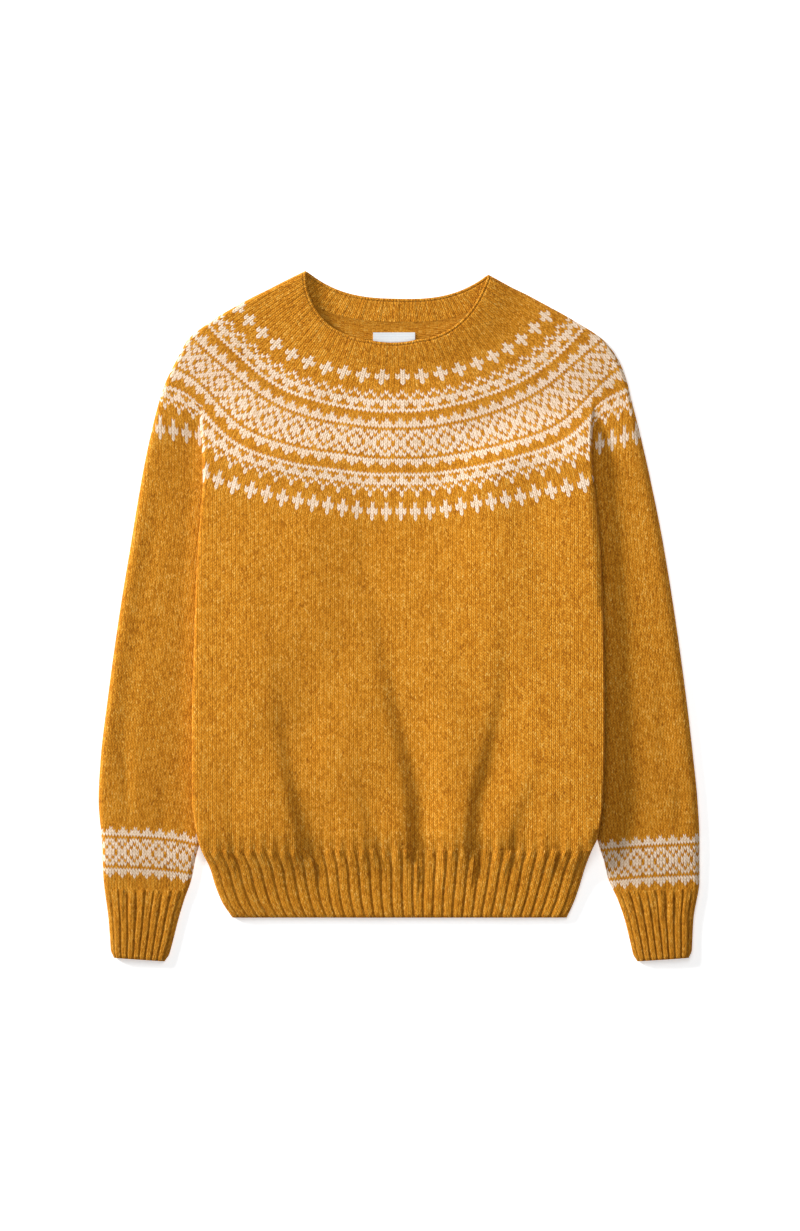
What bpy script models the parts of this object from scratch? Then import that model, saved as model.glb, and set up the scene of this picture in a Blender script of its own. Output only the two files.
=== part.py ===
"""Circular-yoke fair isle jumper, laid flat on its back, as closed walls of knitted cloth.

Frame: x to the right sleeve as seen from above, y towards the neck, z up from the surface that the
jumper lies on. Sizes and tables are in millimetres and become metres where a mesh is made. The two
layers of the body and the yoke lie on each other, the sleeves are flattened tubes whose inner part is
folded under the body, and the welt, the cuffs and the neckband are ribbed on the side that shows.
"""
import bmesh
import bpy
import numpy as np

MM = 0.001

# Cloth
WALL = 2.4            # thickness of the knitted cloth
SEAM = 0.3            # clearance between neighbouring pieces
AIR = 0.6             # least air between the two layers of a flattened tube
PRESSED = 2 * WALL + AIR
ROLL_ANGLES = (0.0, 30.0, 60.0, 90.0)

# Fold radii in plan of the rounded side edges
YOKE_ROLL = 5.0
BODY_ROLL = 9.0
WELT_ROLL = 5.0
SLEEVE_ROLL = 5.0
CUFF_ROLL = 4.5
NECK_ROLL = 4.0

# Heights that the cloth stands up
SLEEVE_SWELL = 3.6    # crown of a sleeve between its edge and the body
SIDE_SWELL = 3.2      # the body's side folds over its middle
SIDE_REACH = 70.0     # how far in from the side that swell is felt
NECK_RISE = 2.4       # the front neckband over the back
NECK_REACH = 45.0
CUFF_SWELL = 1.6
SLEEVE_TUCK = 13.0    # the sleeve is pressed flat this far outside the body's edge
PLEAT_RISE = 1.6      # extra height of the underarm pleat
LIFT_RAMP = 80.0      # how gradually the body comes down inside a sleeve that lies under it
LIFT_MARGIN = 4.0     # how far inside the sleeve's edge the full lift is reached

# Ribs
WELT_RIBS = 33
WELT_RELIEF = 1.5
CUFF_RIBS = 8
CUFF_RELIEF = 1.5
NECK_RIBS = 14
NECK_RELIEF = 0.6
RIB_PHASES = (0.0, 0.2, 0.5, 0.8)
RIB_CREST = (0.0, 0.85, 1.0, 0.85)
RIB_FADE = 12.0       # length over which a rib rises from the plain cloth

# Outer edge of the yoke, sleeves and cuffs:  y, left x, right x
SILHOUETTE = (
    (346, -93, 84), (335, -115, 105), (328, -129, 117), (316, -153, 139), (296, -187, 175),
    (276, -212, 205), (256, -223, 220), (236, -233, 228), (216, -240, 233), (176, -250, 243),
    (136, -258, 252), (76, -268, 264), (-4, -281, 277), (-84, -292, 288), (-144, -299, 295),
    (-184, -301, 299), (-224, -298, 301), (-264, -296, 301), (-304, -291, 295), (-346, -288, 293))

# Side edges of the body and the welt:  y, left x, right x
BODY_EDGES = (
    (136, -196, 195), (56, -199, 201), (-24, -200, 201), (-144, -200, 200), (-220, -200, 197),
    (-234, -197, 192), (-253, -189, 186), (-270, -184, 181), (-287, -177, 175), (-302, -167, 168))

# Inner edge of each sleeve, and above it the reach of the underarm pleat:  y, left x, right x
INNER_EDGES = (
    (216, -186, 186), (136, -112, 112), (103, -108, 108), (-229, -200, 200), (-244, -204, 205),
    (-264, -208, 210), (-284, -215, 219), (-304, -221, 226), (-324, -226, 231), (-346, -232, 236))

# Crease at each underarm, where the body's side folds over the sleeve:  y, left x, right x
CREASES = (
    (300, -150, 160), (240, -166, 190), (228, -174, 200), (216, -188, 197), (207, -197, 195), (196, -199, 194),
    (166, -197, 193.5), (136, -196, 195))
CREASE_START = 228.0
CREASE_FULL = 172.0

# Front neck edge, polar about NECK_CENTRE:  angle from straight down, left radius, right radius
NECK_CENTRE = (-4.5, 354.0)
NECK_RING = (
    (0, 80.5, 80.5), (15, 81.6, 80.6), (25, 84.4, 83.4), (37, 88.0, 86.2), (48, 91.0, 88.2),
    (60, 91.7, 90.0), (70, 91.3, 91.4), (85, 89.0, 95.0))
NECK_ENDS = (84.8, 82.8)      # angles where the front neck edge meets the shoulder folds
BAND_ENDS = (80.2, 78.5)      # the same for the foot of the neckband
BAND_DEPTH = 23.5
BACK_NECK_DROP = 28.0         # how far the back neck edge dips below the neck points
BACK_NECK_POWER = 2.8

# Height of the front over its two layers, down the middle:  y, swell
SWELL = (
    (346, 1.0), (250, 2.2), (180, 2.4), (92, 2.8), (0, 3.4), (-100, 4.6), (-170, 6.6), (-212, 6.8),
    (-234, 3.0), (-252, 1.2), (-302, 0.8))

# Folds of the front:  name, then x, y, depth (below zero: a ridge), half width along each
FOLDS = {
    "left trough": ((-124, 76, 0.0, 16), (-124, -119, 1.2, 14), (-108, -190, 3.6, 12), (-97, -236, 4.6, 10)),
    "middle trough": ((-42, 71, 0.0, 16), (-19, -4, 1.4, 15), (-4, -94, 2.4, 14), (11, -174, 4.2, 12),
                      (16, -240, 5.4, 10)),
    "right trough": ((116, -4, 0.0, 16), (101, -94, 1.5, 14), (86, -154, 3.2, 13), (73, -236, 5.0, 10)),
    "left dimple": ((-40, -160, 0.4, 12), (-36, -232, 2.6, 9)),
    "right dimple": ((119, -178, 0.4, 12), (122, -234, 2.8, 9)),
    "side dimple": ((156, -188, 0.3, 11), (158, -234, 2.2, 9)),
    "left ridge": ((-69, 31, -0.4, 20), (-69, -144, -1.5, 18), (-50, -219, -1.2, 14)),
    "right ridge": ((51, -44, -0.5, 20), (44, -219, -1.6, 16)),
    "left swell": ((-164, -90, -0.4, 24), (-162, -210, -1.4, 18)),
    "right swell": ((96, -150, 0.0, 12), (96, -214, -1.4, 11)),
}

# Joins
BODY_TOP_MIDDLE = 92.0        # lowest point of the yoke's foot, at the centre front
BODY_TOP_RISE = 44.0          # how far the foot rises towards the underarms
BODY_TOP_POWER = 2.3
BODY_TOP_HALF = 196.0
BODY_TOP_BEND = 8.0           # higher for a sharper bend at the underarms
UNDERARM_Y = 136.0
WELT_TOP = -234.0
WELT_FOOT = -302.0
CUFF_TOP = -273.0
CUFF_TOP_SLANT = 2.0          # the inner side hangs lower than the outer side by this
CUFF_FOOT = -342.0
CUFF_FOOT_SLANT = 4.0
CUFF_CORNER = 5.0

# Woven label inside the back
LABEL_WIDTH = 42.0
LABEL_HEIGHT = 22.0
LABEL_TOP = 284.0
LABEL_MIDDLE = -5.0
LABEL_THICKNESS = 0.6

# Rows and columns of the walls
BODY_ROWS = (0, .07, .16, .27, .38, .48, .57, .65, .72, .78, .83, .88, .92, .96, 1)
BACK_ROWS = (0, .2, .4, .6, .78, .9, 1)
YOKE_ROWS = (0, .13, .26, .38, .48, .57, .66, .75, .84, .92, 1)
YOKE_BACK_ROWS = (0, .3, .6, .8, 1)
SLEEVE_ROWS = (0, .12, .25, .4, .55, .68, .79, .88, .94, 1)
WELT_ROWS = (0, .18, .5, 1)
CUFF_ROWS = (0, .17, .5, .9, .97, 1)
NECK_ROWS = (0, .5, 1)

OCHRE = (0.62, 0.27, 0.03, 1.0)
CREAM = (0.87, 0.72, 0.56, 1.0)
LABEL_WHITE = (0.84, 0.86, 0.88, 1.0)


def ease(start, stop, value):
    """Smooth step from 0 at start to 1 at stop."""
    part = np.clip((np.asarray(value, float) - start) / (stop - start), 0.0, 1.0)
    return part * part * (3.0 - 2.0 * part)


def smooth_read(keys, values, at):
    """Smooth curve through a table's values, without overshoot, level beyond its ends."""
    order = np.argsort(keys)
    keys = np.asarray(keys, float)[order]
    values = np.asarray(values, float)[order]
    step = np.diff(keys)
    slope = np.diff(values) / step
    tangent = np.zeros(len(keys))
    same = slope[:-1] * slope[1:] > 0
    spread = step[:-1] + step[1:]
    weight = (step[:-1] + spread) / (3.0 * spread)
    inner = np.where(same, weight * slope[1:] + (1.0 - weight) * slope[:-1], 1.0)
    tangent[1:-1] = np.where(same, slope[:-1] * slope[1:] / inner, 0.0)
    tangent[0] = slope[0]
    tangent[-1] = slope[-1]
    at = np.clip(np.asarray(at, float), keys[0], keys[-1])
    i = np.clip(np.searchsorted(keys, at, side="right") - 1, 0, len(step) - 1)
    t = (at - keys[i]) / step[i]
    start = (1 + 2 * t) * (1 - t) ** 2 * values[i] + t * (1 - t) ** 2 * step[i] * tangent[i]
    stop = t * t * (3 - 2 * t) * values[i + 1] + t * t * (t - 1) * step[i] * tangent[i + 1]
    return start + stop


def read_edge(table, y, side):
    """x of a side edge at height y: side is -1 for the left column and 1 for the right one."""
    rows = np.array(table, float)
    return smooth_read(rows[:, 0], rows[:, 1 if side < 0 else 2], y)


def neck_radius(angle):
    """Radius of the front neck edge at an angle in degrees, below zero to the left."""
    rows = np.array(NECK_RING, float)
    angle = np.asarray(angle, float)
    left = smooth_read(rows[:, 0], rows[:, 1], np.abs(angle))
    right = smooth_read(rows[:, 0], rows[:, 2], np.abs(angle))
    return np.where(angle < 0, left, right)


def neck_arc(part, ends, extra):
    """Points of an arc round the neck, part 0 to 1 from the left fold to the right fold."""
    angle = -ends[0] + np.asarray(part, float) * (ends[0] + ends[1])
    radius = neck_radius(angle) + extra
    x = NECK_CENTRE[0] + radius * np.sin(np.radians(angle))
    y = NECK_CENTRE[1] - radius * np.cos(np.radians(angle))
    return np.stack([x, y], -1)


def body_top(x):
    """y of the yoke's foot: it rises towards the underarms and runs level over the sleeves."""
    rise = (np.abs(x) / BODY_TOP_HALF) ** BODY_TOP_POWER
    level = -np.log(np.exp(-BODY_TOP_BEND * rise) + np.exp(-BODY_TOP_BEND)) / BODY_TOP_BEND
    return BODY_TOP_MIDDLE + BODY_TOP_RISE * level


def span(start, stop):
    """A function giving the straight line between two points, part 0 to 1."""
    start = np.array(start, float)
    stop = np.array(stop, float)
    return lambda part: start + (stop - start) * np.asarray(part, float)[..., None]


def edge_run(table, side, top, foot):
    """A function giving a side edge from y = top to y = foot, part 0 to 1."""
    def run(part):
        y = top + (foot - top) * np.asarray(part, float)
        return np.stack([read_edge(table, y, side), y], -1)
    return run


def patch(top, foot, left, right):
    """A plan of a panel: a function of across and down, each 0 to 1, through its four edges."""
    corner = [top(np.array(0.0)), top(np.array(1.0)), foot(np.array(0.0)), foot(np.array(1.0))]

    def plan(across, down):
        a = np.asarray(across, float)[..., None]
        d = np.asarray(down, float)[..., None]
        sides = (1 - a) * left(down) + a * right(down)
        ends = (1 - d) * top(across) + d * foot(across)
        corners = ((1 - a) * (1 - d) * corner[0] + a * (1 - d) * corner[1]
                   + (1 - a) * d * corner[2] + a * d * corner[3])
        return sides + ends - corners
    return plan


def sleeve_lift(x, y):
    """Height to which a sleeve and the underarm pleat raise the body that lies on them."""
    x = np.asarray(x, float)
    reach = np.where(x < 0, -read_edge(INNER_EDGES, y, -1), read_edge(INNER_EDGES, y, 1))
    across = ease(reach - LIFT_MARGIN - LIFT_RAMP, reach - LIFT_MARGIN, np.abs(x))
    along = ease(226.0, 140.0, y) * ease(-262.0, -231.0, y)
    pleat = PLEAT_RISE * ease(136.0, 160.0, y) * ease(226.0, 170.0, y)
    return across * ((PRESSED + SEAM) * along + pleat)


def fold_depth(x, y):
    """Depth of the folds of the front, summed."""
    total = np.zeros(np.shape(x))
    for points in FOLDS.values():
        rows = np.array(points, float)
        best = np.full(np.shape(x), 1e9)
        depth = np.zeros(np.shape(x))
        width = np.ones(np.shape(x))
        for a, b in zip(rows[:-1], rows[1:]):
            run = b[:2] - a[:2]
            part = ((x - a[0]) * run[0] + (y - a[1]) * run[1]) / (run @ run)
            part = np.clip(part, 0.0, 1.0)
            gap = np.hypot(x - a[0] - part * run[0], y - a[1] - part * run[1])
            near = gap < best
            best = np.where(near, gap, best)
            depth = np.where(near, a[2] + part * (b[2] - a[2]), depth)
            width = np.where(near, a[3] + part * (b[3] - a[3]), width)
        total += depth * np.exp(-(best / width) ** 2)
    return total


def front_height(x, y):
    """Height of the outer face of the front, away from its side folds and ribs."""
    swell_rows = np.array(SWELL, float)
    swell = smooth_read(swell_rows[:, 0], swell_rows[:, 1], y)
    half = np.where(np.asarray(x) < 0, -read_edge(BODY_EDGES, y, -1), read_edge(BODY_EDGES, y, 1))
    side_band = ease(230.0, 150.0, y) * ease(-262.0, -225.0, y)
    side = SIDE_SWELL * side_band * ease(half - SIDE_REACH, half, np.abs(x)) * np.where(x < 0, 0.75, 1.3)
    dx = x - NECK_CENTRE[0]
    dy = NECK_CENTRE[1] - y
    out = np.hypot(dx, dy) - neck_radius(np.degrees(np.arctan2(dx, dy)))
    rise = NECK_RISE * (1.0 - ease(0.0, NECK_REACH, out)) * ease(180.0, 230.0, y)
    over = np.maximum(swell + side - fold_depth(x, y), 0.8)
    return PRESSED + sleeve_lift(x, y) + rise + over


def sleeve_height(x, y):
    """Height of the upper face of a sleeve: crowned where it shows and pressed under the body."""
    x = np.asarray(x, float)
    left = x < 0
    outer = np.where(left, -read_edge(SILHOUETTE, y, -1), read_edge(SILHOUETTE, y, 1))
    body = np.where(left, -read_edge(BODY_EDGES, y, -1), read_edge(BODY_EDGES, y, 1))
    inner = np.where(left, -read_edge(INNER_EDGES, y, -1), read_edge(INNER_EDGES, y, 1))
    limit = np.maximum(body, inner) + SLEEVE_TUCK * ease(-250.0, -228.0, y)
    part = np.clip((outer - np.abs(x)) / (outer - limit), 0.0, 1.0)
    gather = 1.0 - (1.0 - CUFF_SWELL / SLEEVE_SWELL) * ease(-235.0, -273.0, y)
    return PRESSED + SLEEVE_SWELL * gather * np.sin(np.pi * part) ** 0.8


def rib_columns(count, start=0.0, stop=1.0):
    """Parts across, and the height of the rib at each, for a number of ribs between two parts."""
    parts = []
    crests = []
    for rib in range(count):
        for phase, crest in zip(RIB_PHASES, RIB_CREST):
            parts.append(start + (stop - start) * (rib + phase) / count)
            crests.append(crest)
    return np.array(parts + [stop]), np.array(crests + [0.0])


def roll_columns(length, radius, inner):
    """Parts across of a rounded side fold, and how far up the fold each lies."""
    angle = np.radians(ROLL_ANGLES[:-1])
    if inner:
        distance = WALL + (radius - WALL) * (1.0 - np.cos(angle))
    else:
        distance = radius * (1.0 - np.cos(angle))
    return distance / length, np.sin(angle)


def section(plan, down, columns, radius, inner):
    """Plan points of one row, with its rounded ends, and how far up the side fold each lies."""
    ruler = plan(np.linspace(0.0, 1.0, 60), np.full(60, down))
    length = np.sum(np.hypot(*np.diff(ruler, axis=0).T))
    parts, up = roll_columns(length, radius, inner)
    across = np.concatenate([parts, columns, 1.0 - parts[::-1]])
    rising = np.concatenate([up, np.ones(len(columns)), up[::-1]])
    return plan(across, np.full(len(across), down)), rising, across


def upper_wall(plan, rows, columns, radius, rim, height, relief=None):
    """Outer and inner points of a panel of the upper layer, whose sides fold down to a rim."""
    grids = []
    for inner in (False, True):
        grid = []
        for down in rows:
            points, rising, across = section(plan, down, columns, radius, inner)
            x, y = points.T
            foot = rim(x, y)
            top = height(x, y, across, down) - (WALL if inner else 0.0)
            z = foot + (top - foot) * rising
            if relief is not None and not inner:
                z += relief(across, down, y) * rising
            grid.append(np.stack([x, y, z], -1))
        grids.append(np.array(grid))
    return grids


def lower_wall(plan, rows, columns, height, inset=1.0):
    """Top and underside points of a panel of the lower layer, plain and set in from the side folds."""
    grids = []
    for level in (WALL, 0.0):
        grid = []
        for down in rows:
            ruler = plan(np.linspace(0.0, 1.0, 60), np.full(60, down))
            length = np.sum(np.hypot(*np.diff(ruler, axis=0).T))
            across = inset / length + columns * (1.0 - 2.0 * inset / length)
            points = plan(across, np.full(len(across), down))
            x, y = points.T
            grid.append(np.stack([x, y, height(x, y) + level], -1))
        grids.append(np.array(grid))
    return grids


def tube_wall(plan, rows, columns, foot_columns, radius, height, relief=None, corner=0.0):
    """Outer and inner rings of a flattened tube that lies on the surface."""
    grids = []
    for inner in (False, True):
        grid = []
        for down in rows:
            points, rising, across = section(plan, down, columns, radius, inner)
            if corner:
                points = round_corner(points, across, down, corner)
            x, y = points.T
            top = height(x, y)
            middle = 0.5 * PRESSED
            z = middle + (top - (WALL if inner else 0.0) - middle) * rising
            if relief is not None and not inner:
                z += relief(across, down, y) * rising
            upper = np.stack([x, y, z], -1)
            points, rising, across = section(plan, down, foot_columns, radius, inner)
            if corner:
                points = round_corner(points, across, down, corner)
            x, y = points.T
            z = middle - (middle - (WALL if inner else 0.0)) * rising
            lower = np.stack([x, y, z], -1)[-2:0:-1]
            grid.append(np.concatenate([upper, lower]))
        grids.append(np.array(grid))
    return grids


def round_corner(points, across, down, corner):
    """Points of a cuff's last rows drawn in at both ends, for its rounded corners."""
    draw = corner * ease(0.88, 1.0, down) ** 2
    middle = points[len(points) // 2]
    width = abs(points[-1, 0] - points[0, 0])
    shrink = 1.0 - draw / width * np.abs(2.0 * across - 1.0) ** 6
    return middle + (points - middle) * shrink[:, None]


def add_mesh(name, points, faces, colour, collection):
    """A closed mesh object in metres, with its own plain material."""
    mesh = bpy.data.meshes.new(name)
    mesh.from_pydata([tuple(point * MM) for point in points], [], faces)
    work = bmesh.new()
    work.from_mesh(mesh)
    bmesh.ops.recalc_face_normals(work, faces=work.faces)
    work.to_mesh(mesh)
    work.free()
    mesh.shade_smooth()
    mesh.set_sharp_from_angle(angle=np.radians(50.0))
    material = bpy.data.materials.new(name + "_knit")
    material.use_nodes = True
    shader = material.node_tree.nodes["Principled BSDF"]
    shader.inputs["Base Color"].default_value = colour
    shader.inputs["Roughness"].default_value = 0.92
    shader.inputs["Metallic"].default_value = 0.0
    mesh.materials.append(material)
    piece = bpy.data.objects.new(name, mesh)
    collection.objects.link(piece)
    return piece


def add_panel(name, grids, colour, collection):
    """A panel lofted through its rows: two skins of like points, closed round their rim."""
    outer, inner = grids
    rows, columns = outer.shape[:2]
    index = np.arange(rows * columns).reshape(rows, columns)
    other = index + rows * columns
    faces = []
    for r in range(rows - 1):
        for c in range(columns - 1):
            faces.append((index[r, c], index[r, c + 1], index[r + 1, c + 1], index[r + 1, c]))
            faces.append((other[r, c], other[r + 1, c], other[r + 1, c + 1], other[r, c + 1]))
    rim = list(index[0, :-1]) + list(index[:-1, -1]) + list(index[-1, :0:-1]) + list(index[:0:-1, 0])
    for a, b in zip(rim, rim[1:] + rim[:1]):
        faces.append((b, a, a + rows * columns, b + rows * columns))
    points = np.concatenate([outer.reshape(-1, 3), inner.reshape(-1, 3)])
    return add_mesh(name, points, [tuple(int(i) for i in face) for face in faces], colour, collection)


def add_tube(name, grids, colour, collection):
    """A tube lofted through its rings: two skins of like rings, closed at both mouths."""
    outer, inner = grids
    rows, columns = outer.shape[:2]
    index = np.arange(rows * columns).reshape(rows, columns)
    other = index + rows * columns
    faces = []
    for c in range(columns):
        d = (c + 1) % columns
        for r in range(rows - 1):
            faces.append((index[r, c], index[r, d], index[r + 1, d], index[r + 1, c]))
            faces.append((other[r, c], other[r + 1, c], other[r + 1, d], other[r, d]))
        faces.append((index[0, c], other[0, c], other[0, d], index[0, d]))
        faces.append((index[-1, c], index[-1, d], other[-1, d], other[-1, c]))
    points = np.concatenate([outer.reshape(-1, 3), inner.reshape(-1, 3)])
    return add_mesh(name, points, [tuple(int(i) for i in face) for face in faces], colour, collection)


def clustered(count, centres, strength, reach):
    """Parts across from 0 to 1, closer together round some of them."""
    fine = np.linspace(0.0, 1.0, 2001)
    density = np.ones(2001)
    for centre in centres:
        density += strength * np.exp(-((fine - centre) / reach) ** 2)
    total = np.concatenate([[0.0], np.cumsum(0.5 * (density[1:] + density[:-1]))])
    return np.interp(np.linspace(0.0, total[-1], count), total, fine)


def inside(columns, margin):
    """Parts across squeezed in from both ends, to leave room for the side folds."""
    return margin + columns * (1.0 - 2.0 * margin)


def yoke_foot(part):
    """The yoke's foot from the left sleeve's edge to the right one's: flat on the sleeves."""
    left_outer = read_edge(SILHOUETTE, UNDERARM_Y, -1)
    right_outer = read_edge(SILHOUETTE, UNDERARM_Y, 1)
    x = left_outer + (right_outer - left_outer) * np.asarray(part, float)
    return np.stack([x, body_top(x)], -1)


def crease_parts():
    """Parts across the yoke where the body's two side folds begin."""
    left_outer = read_edge(SILHOUETTE, UNDERARM_Y, -1)
    right_outer = read_edge(SILHOUETTE, UNDERARM_Y, 1)
    width = right_outer - left_outer
    left = (read_edge(BODY_EDGES, UNDERARM_Y, -1) - left_outer) / width
    right = (read_edge(BODY_EDGES, UNDERARM_Y, 1) - left_outer) / width
    return left, right


def shoulder(side):
    """The shoulder fold from the neckband's foot to the underarm level, part 0 to 1."""
    start = neck_arc(np.array(0.0 if side < 0 else 1.0), BAND_ENDS, BAND_DEPTH)

    def run(part):
        part = np.asarray(part, float)
        y = start[1] + (UNDERARM_Y - start[1]) * part ** 1.35
        x = read_edge(SILHOUETTE, y, side)
        return np.stack([x + (start[0] - x) * (1.0 - ease(0.0, 0.12, part)), y], -1)
    return run


def moved(edge, amount):
    """An edge moved along y, for the clearance at a seam."""
    return lambda part: edge(part) + np.array([0.0, amount])


def yoke_plan():
    """Plan of the front yoke, with a line of points drawn onto each crease."""
    flat = patch(lambda part: neck_arc(part, BAND_ENDS, BAND_DEPTH), yoke_foot, shoulder(-1), shoulder(1))
    left, right = crease_parts()

    def plan(across, down):
        points = flat(across, down)
        for side, part in ((-1, left), (1, right)):
            line = flat(np.full(np.shape(across), part), down)
            shift = read_edge(CREASES, line[..., 1], side) - line[..., 0]
            shift *= ease(300.0, CREASE_START, line[..., 1])
            outwards = across / part if side < 0 else (1.0 - across) / (1.0 - part)
            inwards = ease(part + 0.3, part, across) if side < 0 else ease(part - 0.3, part, across)
            share = np.where(outwards < 1.0, ease(0.0, 1.0, outwards), inwards)
            points[..., 0] += shift * share
        return points
    return plan


def yoke_height(x, y, across, down):
    """Height of the front yoke: the body side steps up from the sleeve side at each crease."""
    inwards = np.minimum(x - read_edge(CREASES, y, -1), read_edge(CREASES, y, 1) - x)
    edge = np.where(x < 0, x - read_edge(SILHOUETTE, y, -1), read_edge(SILHOUETTE, y, 1) - x)
    outwards = np.clip(edge / np.maximum(edge - inwards, 1.0), 0.0, 1.0)
    apart = ease(CREASE_START, CREASE_FULL, y)
    swell = 2.2 * (1.0 - apart) + SLEEVE_SWELL * apart * np.sin(np.pi * outwards) ** 0.8
    sleeve_side = PRESSED + swell
    body_side = front_height(x, y)
    drawn = 1.0 - np.clip(inwards / BODY_ROLL, 0.0, 1.0)
    roll = np.sqrt(np.maximum(1.0 - drawn ** 2, 0.0))
    step = np.where(inwards < 0.0, 0.0, roll)
    blend = np.where(inwards < 0.0, 1.0 - apart, 1.0 - apart + apart * step)
    return sleeve_side + (body_side - sleeve_side) * blend


def flat_floor(x, y):
    """The lower layer where it rests on the surface."""
    return np.zeros(np.shape(x))


def rib_relief(parts, crests, height, fade_from):
    """A function giving the height of ribs, which rise from the plain cloth above them."""
    def relief(across, down, y):
        crest = np.interp(across, parts, crests)
        return height * crest * ease(0.0, RIB_FADE, fade_from - y)
    return relief


def make_yoke(collection):
    """The yoke: front with its creases, and flat back."""
    creases = crease_parts()
    columns = inside(clustered(42, creases, 5.0, 0.022), 0.016)
    plan = yoke_plan()
    grids = upper_wall(plan, YOKE_ROWS, columns, YOKE_ROLL, lambda x, y: WALL + SEAM + 0.0 * x, yoke_height)
    add_panel("yoke_front", grids, CREAM, collection)
    back_top = patch(back_band_foot, yoke_foot, shoulder(-1), shoulder(1))
    grids = lower_wall(back_top, YOKE_BACK_ROWS, clustered(31, creases, 4.0, 0.04), flat_floor)
    add_panel("yoke_back", grids, OCHRE, collection)


def back_neck(part):
    """Back neck edge from the left neck point to the right one."""
    left = neck_arc(np.array(0.0), NECK_ENDS, 0.0)
    right = neck_arc(np.array(1.0), NECK_ENDS, 0.0)
    straight = left + (right - left) * np.asarray(part, float)[..., None]
    dip = BACK_NECK_DROP * (1.0 - np.abs(2.0 * np.asarray(part, float) - 1.0) ** BACK_NECK_POWER)
    return straight - np.stack([np.zeros_like(dip), dip], -1)


def back_band_foot(part):
    """Foot of the back neckband."""
    left = neck_arc(np.array(0.0), BAND_ENDS, BAND_DEPTH)
    right = neck_arc(np.array(1.0), BAND_ENDS, BAND_DEPTH)
    straight = left + (right - left) * np.asarray(part, float)[..., None]
    dip = (BACK_NECK_DROP + 10.0) * (1.0 - np.abs(2.0 * np.asarray(part, float) - 1.0) ** BACK_NECK_POWER)
    return straight - np.stack([np.zeros_like(dip), dip], -1)


def make_neckband(collection):
    """The neckband: a low rib round the front, and its back with the rib on the inside."""
    def neck_edge(part):
        return neck_arc(part, NECK_ENDS, 0.0)

    def band_foot(part):
        return neck_arc(part, BAND_ENDS, BAND_DEPTH - SEAM)

    parts, crests = rib_columns(NECK_RIBS, 0.03, 0.97)

    def relief(across, down, y):
        return NECK_RELIEF * np.interp(across, parts, crests)

    plan = patch(neck_edge, band_foot, span(neck_edge(np.array(0.0)), band_foot(np.array(0.0))),
                 span(neck_edge(np.array(1.0)), band_foot(np.array(1.0))))
    grids = upper_wall(plan, NECK_ROWS, parts, NECK_ROLL, lambda x, y: WALL + SEAM + 0.0 * x,
                       lambda x, y, across, down: front_height(x, y), relief)
    add_panel("neckband_front", grids, OCHRE, collection)
    foot = moved(back_band_foot, SEAM)
    plan = patch(back_neck, foot, span(back_neck(np.array(0.0)), foot(np.array(0.0))),
                 span(back_neck(np.array(1.0)), foot(np.array(1.0))))
    parts, crests = rib_columns(NECK_RIBS - 2, 0.04, 0.96)
    parts = np.concatenate([(0.0,), parts, (1.0,)])
    crests = np.concatenate([(0.0,), crests, (0.0,)])
    top, under = lower_wall(plan, NECK_ROWS, parts, flat_floor)
    top[:, :, 2] += NECK_RELIEF * crests[None, :]
    add_panel("neckband_back", (top, under), OCHRE, collection)


def body_edge_y(side):
    """y where the yoke's foot meets a side fold of the body."""
    return body_top(read_edge(BODY_EDGES, UNDERARM_Y, side))


def across_body(y_of_x, y_level):
    """A function giving a line across the body at a level, bent by y_of_x."""
    left = read_edge(BODY_EDGES, y_level, -1)
    right = read_edge(BODY_EDGES, y_level, 1)

    def line(part):
        x = left + (right - left) * np.asarray(part, float)
        return np.stack([x, y_of_x(x)], -1)
    return line


def make_body(collection):
    """The body: front with its folds over the back."""
    top = moved(across_body(body_top, UNDERARM_Y), -SEAM)
    foot = across_body(lambda x: WELT_TOP + SEAM + 0.0 * x, WELT_TOP)
    plan = patch(top, foot, edge_run(BODY_EDGES, -1, body_edge_y(-1) - SEAM, WELT_TOP + SEAM),
                 edge_run(BODY_EDGES, 1, body_edge_y(1) - SEAM, WELT_TOP + SEAM))

    def rim(x, y):
        return sleeve_lift(x, y) + WALL + SEAM

    columns = inside(np.linspace(0.0, 1.0, 39), 0.026)
    grids = upper_wall(plan, BODY_ROWS, columns, BODY_ROLL, rim,
                       lambda x, y, across, down: front_height(x, y))
    add_panel("front_body", grids, OCHRE, collection)
    grids = lower_wall(plan, BACK_ROWS, np.linspace(0.0, 1.0, 31), sleeve_lift)
    add_panel("back_body", grids, OCHRE, collection)


def make_welt(collection):
    """The ribbed welt at the foot of the body."""
    top = across_body(lambda x: WELT_TOP + 0.0 * x, WELT_TOP)
    foot = across_body(lambda x: WELT_FOOT + 0.0 * x, WELT_FOOT)
    plan = patch(top, foot, edge_run(BODY_EDGES, -1, WELT_TOP, WELT_FOOT),
                 edge_run(BODY_EDGES, 1, WELT_TOP, WELT_FOOT))
    parts, crests = rib_columns(WELT_RIBS, 0.022, 0.978)

    def rim(x, y):
        return sleeve_lift(x, y) + WALL + SEAM

    grids = upper_wall(plan, WELT_ROWS, parts, WELT_ROLL, rim,
                       lambda x, y, across, down: front_height(x, y),
                       rib_relief(parts, crests, WELT_RELIEF, WELT_TOP))
    add_panel("hem_front", grids, OCHRE, collection)
    grids = lower_wall(plan, (0, .25, .5, 1), np.linspace(0.0, 1.0, 25), sleeve_lift)
    add_panel("hem_back", grids, OCHRE, collection)


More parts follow.
